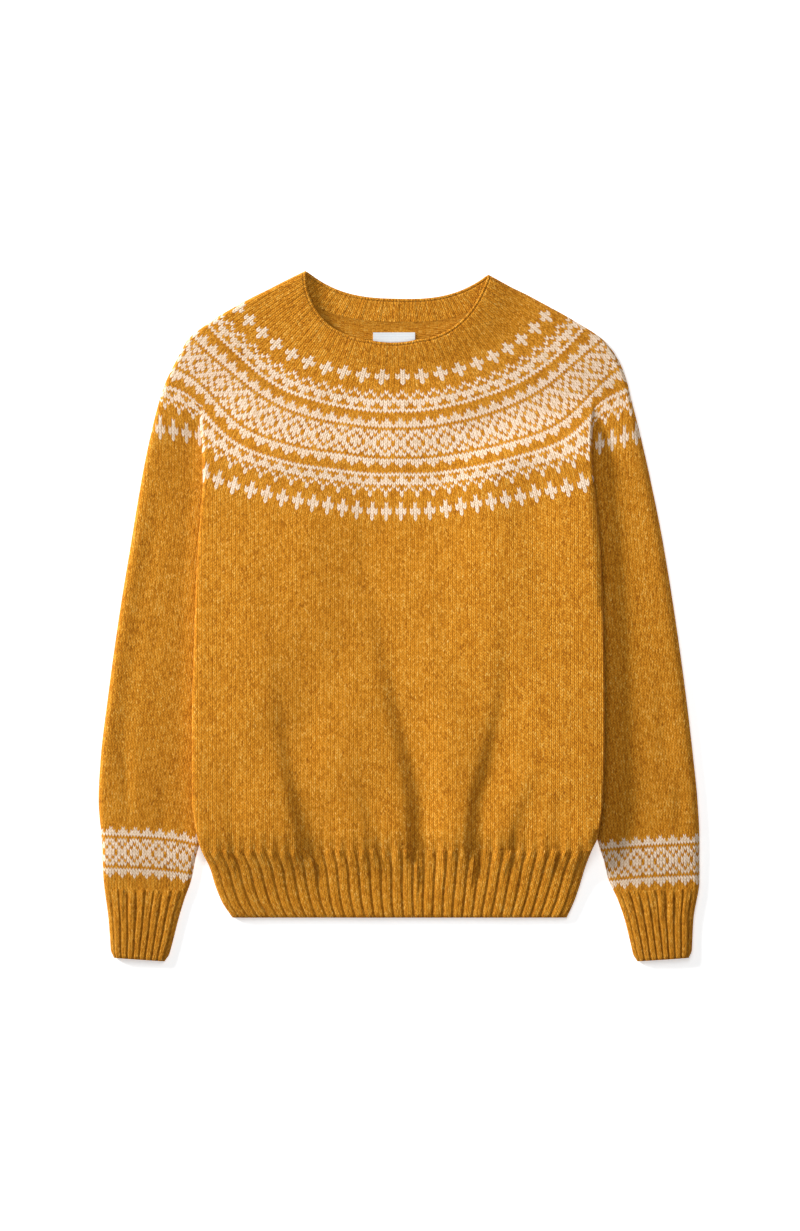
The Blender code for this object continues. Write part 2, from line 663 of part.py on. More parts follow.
def make_sleeve(side, collection):
    """A sleeve and its cuff: side is -1 for the left one as seen from above, 1 for the right one."""
    label = "left" if side < 0 else "right"
    outer_top = read_edge(SILHOUETTE, UNDERARM_Y, side)
    inner_top = read_edge(INNER_EDGES, body_top(108.0), side)

    def armhole(part):
        x = outer_top + (inner_top - outer_top) * np.asarray(part, float)
        return np.stack([x, body_top(x) - SEAM], -1)

    def cuff_line(y_outer, slant, clearance):
        x_outer = read_edge(SILHOUETTE, y_outer, side)
        x_inner = read_edge(INNER_EDGES, y_outer - slant, side)
        return span((x_outer, y_outer + clearance), (x_inner, y_outer - slant + clearance))

    def run(table, top, foot):
        return edge_run(table, side, top, foot)

    join = cuff_line(CUFF_TOP, CUFF_TOP_SLANT, SEAM)
    plan = patch(armhole, join, run(SILHOUETTE, UNDERARM_Y - SEAM, CUFF_TOP + SEAM),
                 run(INNER_EDGES, float(armhole(np.array(1.0))[1]), CUFF_TOP - CUFF_TOP_SLANT + SEAM))
    grids = tube_wall(plan, SLEEVE_ROWS, inside(np.linspace(0.0, 1.0, 14), 0.055),
                      inside(np.linspace(0.0, 1.0, 12), 0.055), SLEEVE_ROLL, sleeve_height)
    add_tube("sleeve_" + label, grids, OCHRE, collection)

    top = cuff_line(CUFF_TOP, CUFF_TOP_SLANT, 0.0)
    foot = cuff_line(CUFF_FOOT, CUFF_FOOT_SLANT, 0.0)
    plan = patch(top, foot, run(SILHOUETTE, CUFF_TOP, CUFF_FOOT),
                 run(INNER_EDGES, CUFF_TOP - CUFF_TOP_SLANT, CUFF_FOOT - CUFF_FOOT_SLANT))
    parts, crests = rib_columns(CUFF_RIBS, 0.075, 0.925)
    grids = tube_wall(plan, CUFF_ROWS, parts, inside(np.linspace(0.0, 1.0, 6), 0.075), CUFF_ROLL,
                      sleeve_height, rib_relief(parts, crests, CUFF_RELIEF, CUFF_TOP), CUFF_CORNER)
    add_tube("cuff_" + label, grids, OCHRE, collection)


def make_label(collection):
    """The bare woven label, lying on the inside of the back yoke."""
    grids = []
    for z in (WALL + SEAM + LABEL_THICKNESS, WALL + SEAM):
        grid = []
        for y in (LABEL_TOP, LABEL_TOP - LABEL_HEIGHT):
            row = [(LABEL_MIDDLE + part * LABEL_WIDTH, y, z) for part in (-0.5, 0.0, 0.5)]
            grid.append(row)
        grids.append(np.array(grid))
    add_panel("neck_label", grids, LABEL_WHITE, collection)


def main():
    """Clear the scene and model the jumper."""
    for item in list(bpy.data.objects):
        bpy.data.objects.remove(item, do_unlink=True)
    collection = bpy.data.collections.new("fair_isle_jumper")
    bpy.context.scene.collection.children.link(collection)
    make_yoke(collection)
    make_neckband(collection)
    make_body(collection)
    make_welt(collection)
    make_sleeve(-1, collection)
    make_sleeve(1, collection)
    make_label(collection)


main()
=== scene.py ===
"""Fair isle jumper, laid flat on its back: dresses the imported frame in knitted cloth.

Sizes and tables are in millimetres, in the frame's own axes: x to the sleeve on the right as seen from
above, y to the neck, z off the surface that the jumper lies on. They become metres where a mesh is made.
"""
import logging
import math
from collections.abc import Callable, Sequence
from dataclasses import dataclass, field
from enum import Enum

import bpy
import numpy as np
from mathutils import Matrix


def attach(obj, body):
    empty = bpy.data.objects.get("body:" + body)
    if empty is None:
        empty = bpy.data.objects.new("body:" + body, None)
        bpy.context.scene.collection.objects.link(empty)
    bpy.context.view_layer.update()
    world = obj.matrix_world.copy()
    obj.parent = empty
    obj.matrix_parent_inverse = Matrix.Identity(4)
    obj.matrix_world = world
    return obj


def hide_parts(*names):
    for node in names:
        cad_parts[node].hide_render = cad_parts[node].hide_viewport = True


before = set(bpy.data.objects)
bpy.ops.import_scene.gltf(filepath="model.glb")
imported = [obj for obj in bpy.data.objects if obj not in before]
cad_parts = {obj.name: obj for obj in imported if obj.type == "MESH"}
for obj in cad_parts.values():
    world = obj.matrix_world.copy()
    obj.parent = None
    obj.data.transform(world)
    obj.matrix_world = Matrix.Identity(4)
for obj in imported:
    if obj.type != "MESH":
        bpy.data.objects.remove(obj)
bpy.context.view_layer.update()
LOG = logging.getLogger("fair_isle_jumper")
MM = 0.001
Array = np.ndarray
Edge = Callable[[Array], Array]
Plan = Callable[[Array, Array], Array]
Height = Callable[[Array, Array], Array]
Relief = Callable[[Array, Array, Array], Array]
Tree = bpy.types.NodeTree
Node = bpy.types.Node
Socket = bpy.types.NodeSocket
Material = bpy.types.Material
MATH = "ShaderNodeMath"
STEP = "ShaderNodeMapRange"


class Side(Enum):
    """A side of the jumper as seen from above."""

    LEFT = -1
    RIGHT = 1


class Knit(Enum):
    """How a piece is knitted."""

    PLAIN = "plain"
    STRANDED = "stranded"
    RIB = "rib"
    PURL = "purl"


# ---------------------------------------------------------------------------------------------- numbers


def ease(start: float, stop: float, value: Array) -> Array:
    """Step smoothly from 0 at start to 1 at stop.

    Args:
        start: where the step begins.
        stop: where it ends; it may be less than start.
        value: where it is read.

    Returns:
        The step's value at each place.
    """
    part = np.clip((np.asarray(value, float) - start) / (stop - start), 0.0, 1.0)
    return part * part * (3.0 - 2.0 * part)


def bell(value: Array, middle: float, width: float) -> Array:
    """A soft hump: 1 at its middle, and almost nothing two widths away."""
    return np.exp(-((value - middle) / width) ** 2)


def even(count: int) -> Array:
    """Parts from 0 to 1, evenly apart."""
    return np.linspace(0.0, 1.0, count)


def smooth_read(keys: Array, values: Array, at: Array) -> Array:
    """Read a smooth curve through a table, without overshoot and level beyond its ends.

    Args:
        keys: the table's positions, in any order.
        values: its values.
        at: where it is read.

    Returns:
        The curve's value at each place.
    """
    order = np.argsort(keys)
    keys = np.asarray(keys, float)[order]
    values = np.asarray(values, float)[order]
    step = np.diff(keys)
    slope = np.diff(values) / step
    tangent = np.zeros(len(keys))
    same = slope[:-1] * slope[1:] > 0
    spread = step[:-1] + step[1:]
    weight = (step[:-1] + spread) / (3.0 * spread)
    inner = np.where(same, weight * slope[1:] + (1.0 - weight) * slope[:-1], 1.0)
    tangent[1:-1] = np.where(same, slope[:-1] * slope[1:] / inner, 0.0)
    tangent[0], tangent[-1] = slope[0], slope[-1]
    at = np.clip(np.asarray(at, float), keys[0], keys[-1])
    i = np.clip(np.searchsorted(keys, at, side="right") - 1, 0, len(step) - 1)
    t = (at - keys[i]) / step[i]
    start = (1 + 2 * t) * (1 - t) ** 2 * values[i] + t * (1 - t) ** 2 * step[i] * tangent[i]
    stop = t * t * (3 - 2 * t) * values[i + 1] + t * t * (t - 1) * step[i] * tangent[i + 1]
    return start + stop


def clustered(count: int, centres: Sequence[float], strength: float, reach: float) -> Array:
    """Parts from 0 to 1 that stand closer together round some places.

    Args:
        count: how many parts.
        centres: where they crowd.
        strength: how much closer they stand there.
        reach: how wide the crowding is.

    Returns:
        The parts, rising.
    """
    fine = even(2001)
    density = np.ones_like(fine)
    for centre in centres:
        density += strength * bell(fine, centre, reach)
    total = np.concatenate([[0.0], np.cumsum(0.5 * (density[1:] + density[:-1]))])
    return np.interp(np.linspace(0.0, total[-1], count), total, fine)


def inside(columns: Array, margin: float) -> Array:
    """Parts squeezed in from both ends, to leave room for the side folds."""
    return margin + columns * (1.0 - 2.0 * margin)


def face_middles(values: Array) -> Array:
    """Values at the middles of a grid's faces."""
    return 0.25 * (values[1:, 1:] + values[:-1, 1:] + values[1:, :-1] + values[:-1, :-1])


@dataclass(frozen=True)
class SideTable:
    """A pair of side edges: rows of y, left x and right x."""

    rows: tuple[tuple[float, float, float], ...]

    def at(self, y: Array, side: Side) -> Array:
        """Read x at a height.

        Args:
            y: the heights.
            side: which edge.

        Returns:
            The edge's x at each height.
        """
        table = np.array(self.rows, float)
        return smooth_read(table[:, 0], table[:, 1 if side is Side.LEFT else 2], y)

    def reach(self, x: Array, y: Array) -> Array:
        """Distance of the edge from the middle line, on the side where x lies."""
        return np.where(np.asarray(x) < 0, -self.at(y, Side.LEFT), self.at(y, Side.RIGHT))


# -------------------------------------------------------------------------------------------- the lay


@dataclass(frozen=True)
class Lay:
    """How the jumper lies: its outline in plan, and how high each layer stands.

    A field whose name ends in _ramp holds the two values of y between which something grows from
    nothing to its full size. A pair of shares is for the left and the right side.
    """

    wall: float = 2.4
    seam: float = 0.3
    pressed: float = 5.4
    underarm: float = 136.0
    underarm_half: float = 196.0
    neck_centre: tuple[float, float] = (-4.5, 354.0)
    # The yoke's foot: its level at the middle, its rise to the sides, and how it bends and levels out.
    foot_middle: float = 92.0
    foot_rise: float = 44.0
    foot_power: float = 2.3
    foot_bend: float = 8.0
    # The creases between the body and the sleeves, and the round fold of the body's sides.
    crease_start: float = 228.0
    crease_full: float = 172.0
    body_roll: float = 3.0
    # The body's rise over what lies under it, which starts further in on the left towards the welt.
    lift_width: float = 80.0
    lift_margin: float = 4.0
    lift_top_ramp: tuple[float, float] = (226.0, 140.0)
    lift_foot_ramp: tuple[float, float] = (-285.0, -210.0)
    left_limit: float = 158.0
    left_limit_drop: float = 40.0
    left_width_drop: float = 20.0
    left_ramp: tuple[float, float] = (-100.0, -184.0)
    pleat_rise: float = 1.6
    pleat_foot_ramp: tuple[float, float] = (136.0, 160.0)
    pleat_top_ramp: tuple[float, float] = (226.0, 170.0)
    # The front's fullness: along its sides, arched across, and more on the right.
    side_swell: float = 3.2
    side_reach: float = 70.0
    side_shares: tuple[float, float] = (-0.4, 1.6)
    side_top_ramp: tuple[float, float] = (230.0, 150.0)
    side_foot_ramp: tuple[float, float] = (-262.0, -225.0)
    arch: float = 3.0
    arch_top_ramp: tuple[float, float] = (250.0, 20.0)
    arch_foot_ramp: tuple[float, float] = (-275.0, -215.0)
    right_fullness: float = 6.0
    right_ramp: tuple[float, float] = (120.0, 0.0)
    least_swell: float = 0.8
    neck_rise: float = 2.4
    neck_reach: float = 45.0
    neck_ramp: tuple[float, float] = (180.0, 230.0)
    # The wall on the left of a fold is steeper than the one on its right.
    fold_walls: tuple[float, float] = (0.8, 2.1)
    # Small waves: each its height, its run in x and in y, and its shift; one is bent, by so much, with y.
    bent_wave: tuple[float, ...] = (0.22, 21.0, 33.0, 0.7, 1.3, 47.0)
    waves: tuple[tuple[float, ...], ...] = ((0.16, 11.0, 29.0, 2.1), (0.12, -37.0, 13.0, 0.0))
    # The same on a sleeve: its share, how far it is moved across, and how it is drawn out along.
    sleeve_wave: tuple[float, float, float] = (0.8, 40.0, 0.8)
    # The gathers just above the welt: height, fade, where they stand, and half their pitch.
    gather_level: float = -236.0
    gather_height: float = 0.7
    gather_fade: float = 15.0
    gather_start: float = -188.4
    gather_half_pitch: float = 5.635
    gather_top_ramp: tuple[float, float] = (-170.0, -200.0)
    gather_foot_ramp: tuple[float, float] = (-246.0, -236.0)
    # The sleeves: how full they stand, how far they tuck under the body, and the round of their crowns.
    sleeve_swell: float = 3.6
    sleeve_tuck: float = 13.0
    tuck_ramp: tuple[float, float] = (-250.0, -228.0)
    cuff_swell: float = 1.6
    cuff_ramp: tuple[float, float] = (-235.0, -273.0)
    crown_powers: tuple[float, float] = (0.4, 0.68)
    crown_top: float = 0.1
    crown_ramp: tuple[float, float] = (140.0, 20.0)
    crown_round: float = 0.8
    # A sleeve's outer rim and the trough inside it: each its height, its place and its width.
    rim_ridge: tuple[float, float, float] = (0.9, 4.0, 7.0)
    rim_trough: tuple[float, float, float] = (1.2, 22.0, 10.0)
    rim_shares: tuple[float, float] = (1.0, 0.25)
    rim_top_ramp: tuple[float, float] = (150.0, 50.0)
    rim_foot_ramp: tuple[float, float] = (-225.0, -120.0)
    silhouette: SideTable = SideTable((
        (346, -93, 84), (335, -115, 105), (328, -129, 117), (316, -153, 139), (296, -187, 175),
        (276, -212, 205), (256, -223, 220), (236, -233, 228), (216, -240, 233), (176, -250, 243),
        (136, -258, 252), (76, -268, 264), (-4, -281, 277), (-84, -292, 288), (-144, -299, 295),
        (-184, -301, 299), (-224, -298, 301), (-264, -296, 301), (-304, -291, 295), (-346, -288, 293)))
    body: SideTable = SideTable((
        (136, -196, 195), (96, -199, 199), (56, -202, 202.5), (-24, -205, 205), (-104, -207, 206),
        (-184, -207, 204), (-220, -202, 199), (-234, -198, 193), (-253, -189, 186), (-270, -184, 181),
        (-287, -177, 175), (-302, -167, 168)))
    inner: SideTable = SideTable((
        (216, -186, 186), (136, -112, 112), (103, -108, 108), (-229, -200, 200), (-244, -204, 205),
        (-264, -208, 210), (-284, -215, 219), (-304, -221, 226), (-324, -226, 231), (-346, -232, 236)))
    creases: SideTable = SideTable((
        (300, -150, 160), (240, -166, 190), (228, -174, 200), (216, -188, 197), (207, -197, 195),
        (196, -199, 194), (166, -197, 193.5), (136, -196, 195)))
    neck_ring: SideTable = SideTable((
        (0, 80.5, 80.5), (15, 81.6, 80.6), (25, 84.4, 83.4), (37, 88.0, 86.2), (48, 91.0, 88.2),
        (60, 91.7, 90.0), (70, 91.3, 91.4), (85, 89.0, 95.0)))
    swell: tuple[tuple[float, float], ...] = (
        (346, 1.0), (250, 2.2), (180, 2.4), (92, 2.8), (0, 3.4), (-100, 4.6), (-170, 5.3), (-216, 5.2),
        (-242, 3.5), (-262, 1.9), (-302, 0.8))
    # The body's folds, each a line of points: x, y, depth, which is below zero for a ridge, and width.
    folds: tuple[tuple[tuple[float, float, float, float], ...], ...] = (
        ((-124, 76, 0.5, 16), (-124, -4, 1.2, 15), (-114, -84, 1.9, 17), (-107, -144, 3.6, 13),
         (-100, -184, 4.8, 11), (-88, -236, 5.2, 10)),
        ((-34, 66, 0.8, 16), (-16, -4, 2.0, 15), (0, -84, 4.2, 16), (14, -144, 6.1, 14),
         (20, -184, 6.9, 13), (19, -240, 6.6, 11)),
        ((112, 66, 0.6, 16), (111, -4, 1.4, 15), (107, -84, 2.9, 14), (93, -144, 4.0, 12),
         (81, -184, 4.8, 11), (76, -236, 5.2, 10)),
        ((-44, -140, 0.4, 12), (-31, -184, 1.8, 10), (-20, -232, 2.0, 9)),
        ((141, -164, 0.6, 12), (129, -189, 1.7, 10), (114, -234, 2.2, 9)),
        ((164, -170, 0.3, 11), (161, -190, 1.5, 10), (157, -234, 2.0, 9)),
        ((-69, 31, -0.4, 20), (-69, -144, -1.5, 18), (-50, -219, -1.2, 14)),
        ((51, -44, -0.5, 20), (44, -219, -1.6, 16)),
        ((-168, -140, 0.3, 11), (-167, -184, 1.4, 9), (-165, -234, 1.5, 9)),
        ((96, -150, 0.0, 12), (96, -214, -1.4, 11)))
    # Soft troughs of the sleeves: x, y, lean, half width, half length, depth.
    sleeve_folds: tuple[tuple[float, float, float, float, float, float], ...] = (
        (-272, -165, -0.05, 6.0, 34.0, 1.6), (-233, -188, 0.05, 7.0, 30.0, 1.7),
        (-243, -20, 0.12, 9.0, 46.0, 0.9), (266, -120, -0.10, 9.0, 50.0, 1.0),
        (236, -196, 0.06, 7.0, 26.0, 1.3), (281, -190, -0.02, 6.0, 26.0, 1.1))

    def neck_radius(self, angle: Array) -> Array:
        """Radius of the front neck edge at an angle in degrees, below zero to the left."""
        return np.where(np.asarray(angle) < 0, self.neck_ring.at(np.abs(angle), Side.LEFT),
                        self.neck_ring.at(np.abs(angle), Side.RIGHT))

    def neck_arc(self, part: Array, ends: tuple[float, float], extra: float) -> Array:
        """Points round the front of the neck.

        Args:
            part: 0 at the left shoulder fold to 1 at the right one.
            ends: the angles of the two folds in degrees.
            extra: how far outside the neck edge.

        Returns:
            x and y of each point.
        """
        angle = -ends[0] + np.asarray(part, float) * (ends[0] + ends[1])
        radius = self.neck_radius(angle) + extra
        return np.stack([self.neck_centre[0] + radius * np.sin(np.radians(angle)),
                         self.neck_centre[1] - radius * np.cos(np.radians(angle))], -1)

    def body_top(self, x: Array) -> Array:
        """Read the yoke's foot: it rises towards the underarms and runs level over the sleeves.

        Args:
            x: the places.

        Returns:
            y at each place.
        """
        rise = (np.abs(x) / self.underarm_half) ** self.foot_power
        bent = np.log(np.exp(-self.foot_bend * rise) + math.exp(-self.foot_bend))
        return self.foot_middle - self.foot_rise * bent / self.foot_bend

    def lift(self, x: Array, y: Array) -> Array:
        """Height to which a sleeve or the underarm pleat raises the body that lies on it.

        Args:
            x: the places.
            y: the same.

        Returns:
            The height at each place.
        """
        reach = self.inner.reach(x, y) - self.lift_margin
        along = ease(*self.lift_top_ramp, y) * ease(*self.lift_foot_ramp, y)
        pleat = self.pleat_rise * ease(*self.pleat_foot_ramp, y) * ease(*self.pleat_top_ramp, y)
        low = ease(*self.left_ramp, y)
        reach = np.where(x < 0, np.minimum(reach, self.left_limit - self.left_limit_drop * low), reach)
        width = self.lift_width - self.left_width_drop * low * (x < 0)
        across = ease(reach - width, reach, np.abs(x)) if np.ndim(x) else 0.0
        return across * ((self.pressed + self.seam) * along + pleat)

    def back_rim(self, x: Array, y: Array) -> Array:
        """Height at which the body's front folds down to its back."""
        return self.lift(x, y) + self.wall + self.seam

    def fold_depth(self, x: Array, y: Array) -> Array:
        """Depth of the front's folds: a trough is above zero and a ridge below.

        Args:
            x: the places.
            y: the same.

        Returns:
            The depth at each place.
        """
        total = np.zeros(np.shape(x))
        for points in self.folds:
            rows = np.array(points, float)
            best = np.full(np.shape(x), np.inf)
            depth = np.zeros(np.shape(x))
            width = np.ones(np.shape(x))
            for a, b in zip(rows[:-1], rows[1:]):
                run = b[:2] - a[:2]
                part = np.clip(((x - a[0]) * run[0] + (y - a[1]) * run[1]) / (run @ run), 0.0, 1.0)
                gap = np.hypot(x - a[0] - part * run[0], y - a[1] - part * run[1])
                near = gap < best
                best = np.where(near, gap, best)
                depth = np.where(near, a[2] + part * (b[2] - a[2]), depth)
                lopsided = np.where((x - a[0]) * run[1] > (y - a[1]) * run[0], *self.fold_walls)
                width = np.where(near, (a[3] + part * (b[3] - a[3])) * lopsided, width)
            total += depth * bell(best, 0.0, width)
        return total

    def ripple(self, x: Array, y: Array) -> Array:
        """Small unevenness of cloth that lies by hand, and the gathers just above the welt.

        Args:
            x: the places.
            y: the same.

        Returns:
            The height at each place.
        """
        height, run_x, run_y, shift, bend, bend_run = self.bent_wave
        wave = height * np.sin(x / run_x + bend * np.sin(y / bend_run)) * np.sin(y / run_y + shift)
        for height, run_x, run_y, shift in self.waves:
            wave = wave + height * np.sin(x / run_x + y / run_y + shift)
        gather = -self.gather_height * np.exp(-np.clip(y - self.gather_level, 0.0, None) / self.gather_fade)
        gather = gather * np.cos((x - self.gather_start) * math.pi / self.gather_half_pitch)
        return wave + gather * ease(*self.gather_foot_ramp, y) * ease(*self.gather_top_ramp, y)

    def front(self, x: Array, y: Array) -> Array:
        """Height of the outer face of the front, away from its side folds and ribs.

        Args:
            x: the places.
            y: the same.

        Returns:
            The height at each place.
        """
        swell = np.array(self.swell, float)
        over = smooth_read(swell[:, 0], swell[:, 1], y)
        half = self.body.reach(x, y)
        band = ease(*self.side_top_ramp, y) * ease(*self.side_foot_ramp, y)
        over = over + (self.side_swell * band * ease(half - self.side_reach, half, np.abs(x))
                       * np.where(x < 0, *self.side_shares))
        part = np.clip(np.abs(x) / self.underarm_half, 0.0, 1.0)
        arch = self.arch * (1.0 - part ** 2) * ease(*self.arch_top_ramp, y)
        fuller = self.right_fullness * part * (1.0 - part) * (x > 0) * ease(*self.right_ramp, y)
        over = over + (arch + fuller) * ease(*self.arch_foot_ramp, y)
        dx, dy = x - self.neck_centre[0], self.neck_centre[1] - y
        out = np.hypot(dx, dy) - self.neck_radius(np.degrees(np.arctan2(dx, dy)))
        rise = self.neck_rise * (1.0 - ease(0.0, self.neck_reach, out)) * ease(*self.neck_ramp, y)
        over = np.maximum(over - self.fold_depth(x, y), self.least_swell) + self.ripple(x, y)
        return self.pressed + self.lift(x, y) + rise + over

    def sleeve(self, x: Array, y: Array) -> Array:
        """Height of a sleeve's upper face: crowned where it shows and pressed under the body.

        Args:
            x: the places.
            y: the same.

        Returns:
            The height at each place.
        """
        outer = self.silhouette.reach(x, y)
        limit = np.maximum(self.body.reach(x, y), self.inner.reach(x, y))
        limit = limit + self.sleeve_tuck * ease(*self.tuck_ramp, y)
        part = np.clip((outer - np.abs(x)) / (outer - limit), 0.0, 1.0)
        gather = 1.0 - (1.0 - self.cuff_swell / self.sleeve_swell) * ease(*self.cuff_ramp, y)
        crown = self.crown(x, y, part)
        sunk = np.zeros(np.shape(x))
        for fold_x, fold_y, lean, width, length, depth in self.sleeve_folds:
            run = (y - fold_y) / length
            sunk += depth * np.exp(-(((x - fold_x - lean * (y - fold_y)) / width) ** 2) - run * run)
        over = self.sleeve_swell * gather * crown + self.rim(x, y) - sunk * crown
        return self.pressed + np.maximum(over, 0.0) + self.sleeve_ripple(x, y, crown)

    def sleeve_ripple(self, x: Array, y: Array, crown: Array) -> Array:
        """Small unevenness of a sleeve: the front's own, moved and drawn out."""
        share, shift, drawn = self.sleeve_wave
        return share * self.ripple(x + shift, y * drawn) * crown

    def crown(self, x: Array, y: Array, part: Array) -> Array:
        """Fullness across a sleeve; lower down it is fullest near the outer fold.

        Args:
            x: the places.
            y: the same.
            part: how far in from the outer fold each place lies, 0 to 1.

        Returns:
            The fullness at each place, 0 to 1.
        """
        left, right = self.crown_powers
        power = np.where(x < 0, left + self.crown_top * ease(*self.crown_ramp, y), right)
        return np.sin(np.pi * part ** power) ** self.crown_round

    def rim(self, x: Array, y: Array) -> Array:
        """Height of a sleeve's outer fold, which stands up a little, with a soft trough inside it.

        Args:
            x: the places.
            y: the same.

        Returns:
            The height at each place.
        """
        within = self.silhouette.reach(x, y) - np.abs(x)
        ridge, trough = (height * bell(within, place, width)
                         for height, place, width in (self.rim_ridge, self.rim_trough))
        share = np.where(x < 0, *self.rim_shares)
        return (ridge - trough) * share * ease(*self.rim_top_ramp, y) * ease(*self.rim_foot_ramp, y)


LAY = Lay()


def level(height: float) -> Height:
    """A height that is the same everywhere."""
    return lambda x, y: height + 0.0 * x


def span(start: Array, stop: Array) -> Edge:
    """A straight edge between two points, from part 0 to 1."""
    start, stop = np.array(start, float), np.array(stop, float)
    return lambda part: start + (stop - start) * np.asarray(part, float)[..., None]


def sagging(edge: Edge, dip: float, power: float) -> Edge:
    """A line that hangs between the two ends of an edge.

    Args:
        edge: the edge between whose ends it hangs.
        dip: how far its middle hangs.
        power: how flat its middle is.

    Returns:
        The line, from part 0 to 1.
    """
    straight = span(edge(np.array(0.0)), edge(np.array(1.0)))

    def run(part: Array) -> Array:
        """Point on the line."""
        drop = dip * (1.0 - np.abs(2.0 * np.asarray(part, float) - 1.0) ** power)
        return straight(part) - np.stack([np.zeros_like(drop), drop], -1)
    return run


def edge_run(table: SideTable, side: Side, top: float, foot: float) -> Edge:
    """A side edge between two heights.

    Args:
        table: the pair of edges.
        side: which of them.
        top: the y at part 0.
        foot: the y at part 1.

    Returns:
        The edge, from part 0 to 1.
    """
    def run(part: Array) -> Array:
        """Point on the edge."""
        y = top + (foot - top) * np.asarray(part, float)
        return np.stack([table.at(y, side), y], -1)
    return run


def patch(top: Edge, foot: Edge, left: Edge, right: Edge) -> Plan:
    """Fill four edges with a panel's plan.

    Args:
        top: the edge at the top, left to right.
        foot: the edge at the foot.
        left: the edge from the top to the foot on the left.
        right: the same on the right.

    Returns:
        A function of across and down, each 0 to 1, giving x and y.
    """
    zero, one = np.array(0.0), np.array(1.0)
    corner = [top(zero), top(one), foot(zero), foot(one)]

    def plan(across: Array, down: Array) -> Array:
        """Place points of the panel.

        Args:
            across: parts across.
            down: parts down.

        Returns:
            x and y of each point.
        """
        a = np.asarray(across, float)[..., None]
        d = np.asarray(down, float)[..., None]
        sides = (1 - a) * left(down) + a * right(down)
        ends = (1 - d) * top(across) + d * foot(across)
        return sides + ends - ((1 - a) * (1 - d) * corner[0] + a * (1 - d) * corner[1]
                               + (1 - a) * d * corner[2] + a * d * corner[3])
    return plan


# ------------------------------------------------------------------------------------------ the walls


@dataclass
class Wall:
    """A wall of cloth as two skins of points, rows by columns, and what it is knitted like.

    maps holds one or more stitch maps, each the column and row of stitches at every point, and pick says
    which of them each face of the outer skin reads; inner_pick says it of the inner skin.
    """

    name: str
    outer: Array
    inner: Array
    closed: bool = False
    maps: list[Array] = field(default_factory=list)
    pick: Array | None = None
    inner_pick: Array | None = None
    sharp: float = 48.0

    def faces(self) -> tuple[Array, Array]:
        """List the faces: the outer skin's, the inner skin's, then those round the ends.

        Returns:
            Four point numbers a face, and the stitch map of each face.
        """
        rows, columns = self.outer.shape[:2]
        index = np.arange(rows * columns).reshape(rows, columns)
        beyond = np.concatenate([index, index[:, :1]], 1) if self.closed else index
        a, b, c, d = beyond[:-1, :-1], beyond[1:, :-1], beyond[1:, 1:], beyond[:-1, 1:]
        skin = np.stack([a, b, c, d], -1).reshape(-1, 4)
        other = skin[:, ::-1] + rows * columns
        pick = self.pick if self.pick is not None else np.zeros(a.shape, int)
        ends = [(beyond[0], pick[0], False), (beyond[-1], pick[-1], True)]
        if not self.closed:
            ends += [(index[:, 0], pick[:, 0], True), (index[:, -1], pick[:, -1], False)]
        inner_pick = pick if self.inner_pick is None else self.inner_pick
        quads, picks = [skin, other], [pick.ravel(), inner_pick.ravel()]
        for line, chosen, turn in ends:
            p, q = (line[1:], line[:-1]) if turn else (line[:-1], line[1:])
            quads.append(np.stack([p, q, q + rows * columns, p + rows * columns], -1))
            picks.append(chosen)
        return np.concatenate(quads), np.concatenate(picks)

    def build(self, finishes: Sequence[Material]) -> bpy.types.Object:
        """Make the wall a mesh object with its stitch map and its finish.

        Args:
            finishes: the outside's material and, where it differs, the inside's.

        Returns:
            The object, at the origin.
        """
        quads, picks = self.faces()
        points = np.concatenate([self.outer.reshape(-1, 3), self.inner.reshape(-1, 3)]) * MM
        corner = points[quads]
        volume = sum(np.einsum("ij,ij->i", corner[:, 0], np.cross(corner[:, k], corner[:, k + 1])).sum()
                     for k in (1, 2))
        if volume < 0:
            quads = quads[:, ::-1]
        mesh = bpy.data.meshes.new(self.name)
        mesh.from_pydata(points.tolist(), [], quads.tolist())
        rows, columns = self.outer.shape[:2]
        stitches = np.stack([layer.reshape(-1, 2) for layer in self.maps])
        layer = mesh.uv_layers.new(name="stitches")
        layer.data.foreach_set(
            "uv", stitches[picks[:, None], quads % (rows * columns)].astype(np.float32).ravel())
        for finish in finishes:
            mesh.materials.append(finish)
        if len(finishes) > 1:
            per_skin = (rows - 1) * (columns - (0 if self.closed else 1))
            slot = np.zeros(len(quads), np.int32)
            slot[per_skin:2 * per_skin] = 1
            mesh.polygons.foreach_set("material_index", slot)
        mesh.shade_smooth()
        mesh.set_sharp_from_angle(angle=math.radians(self.sharp))
        piece = bpy.data.objects.new(self.name, mesh)
        bpy.context.scene.collection.objects.link(piece)
        return piece


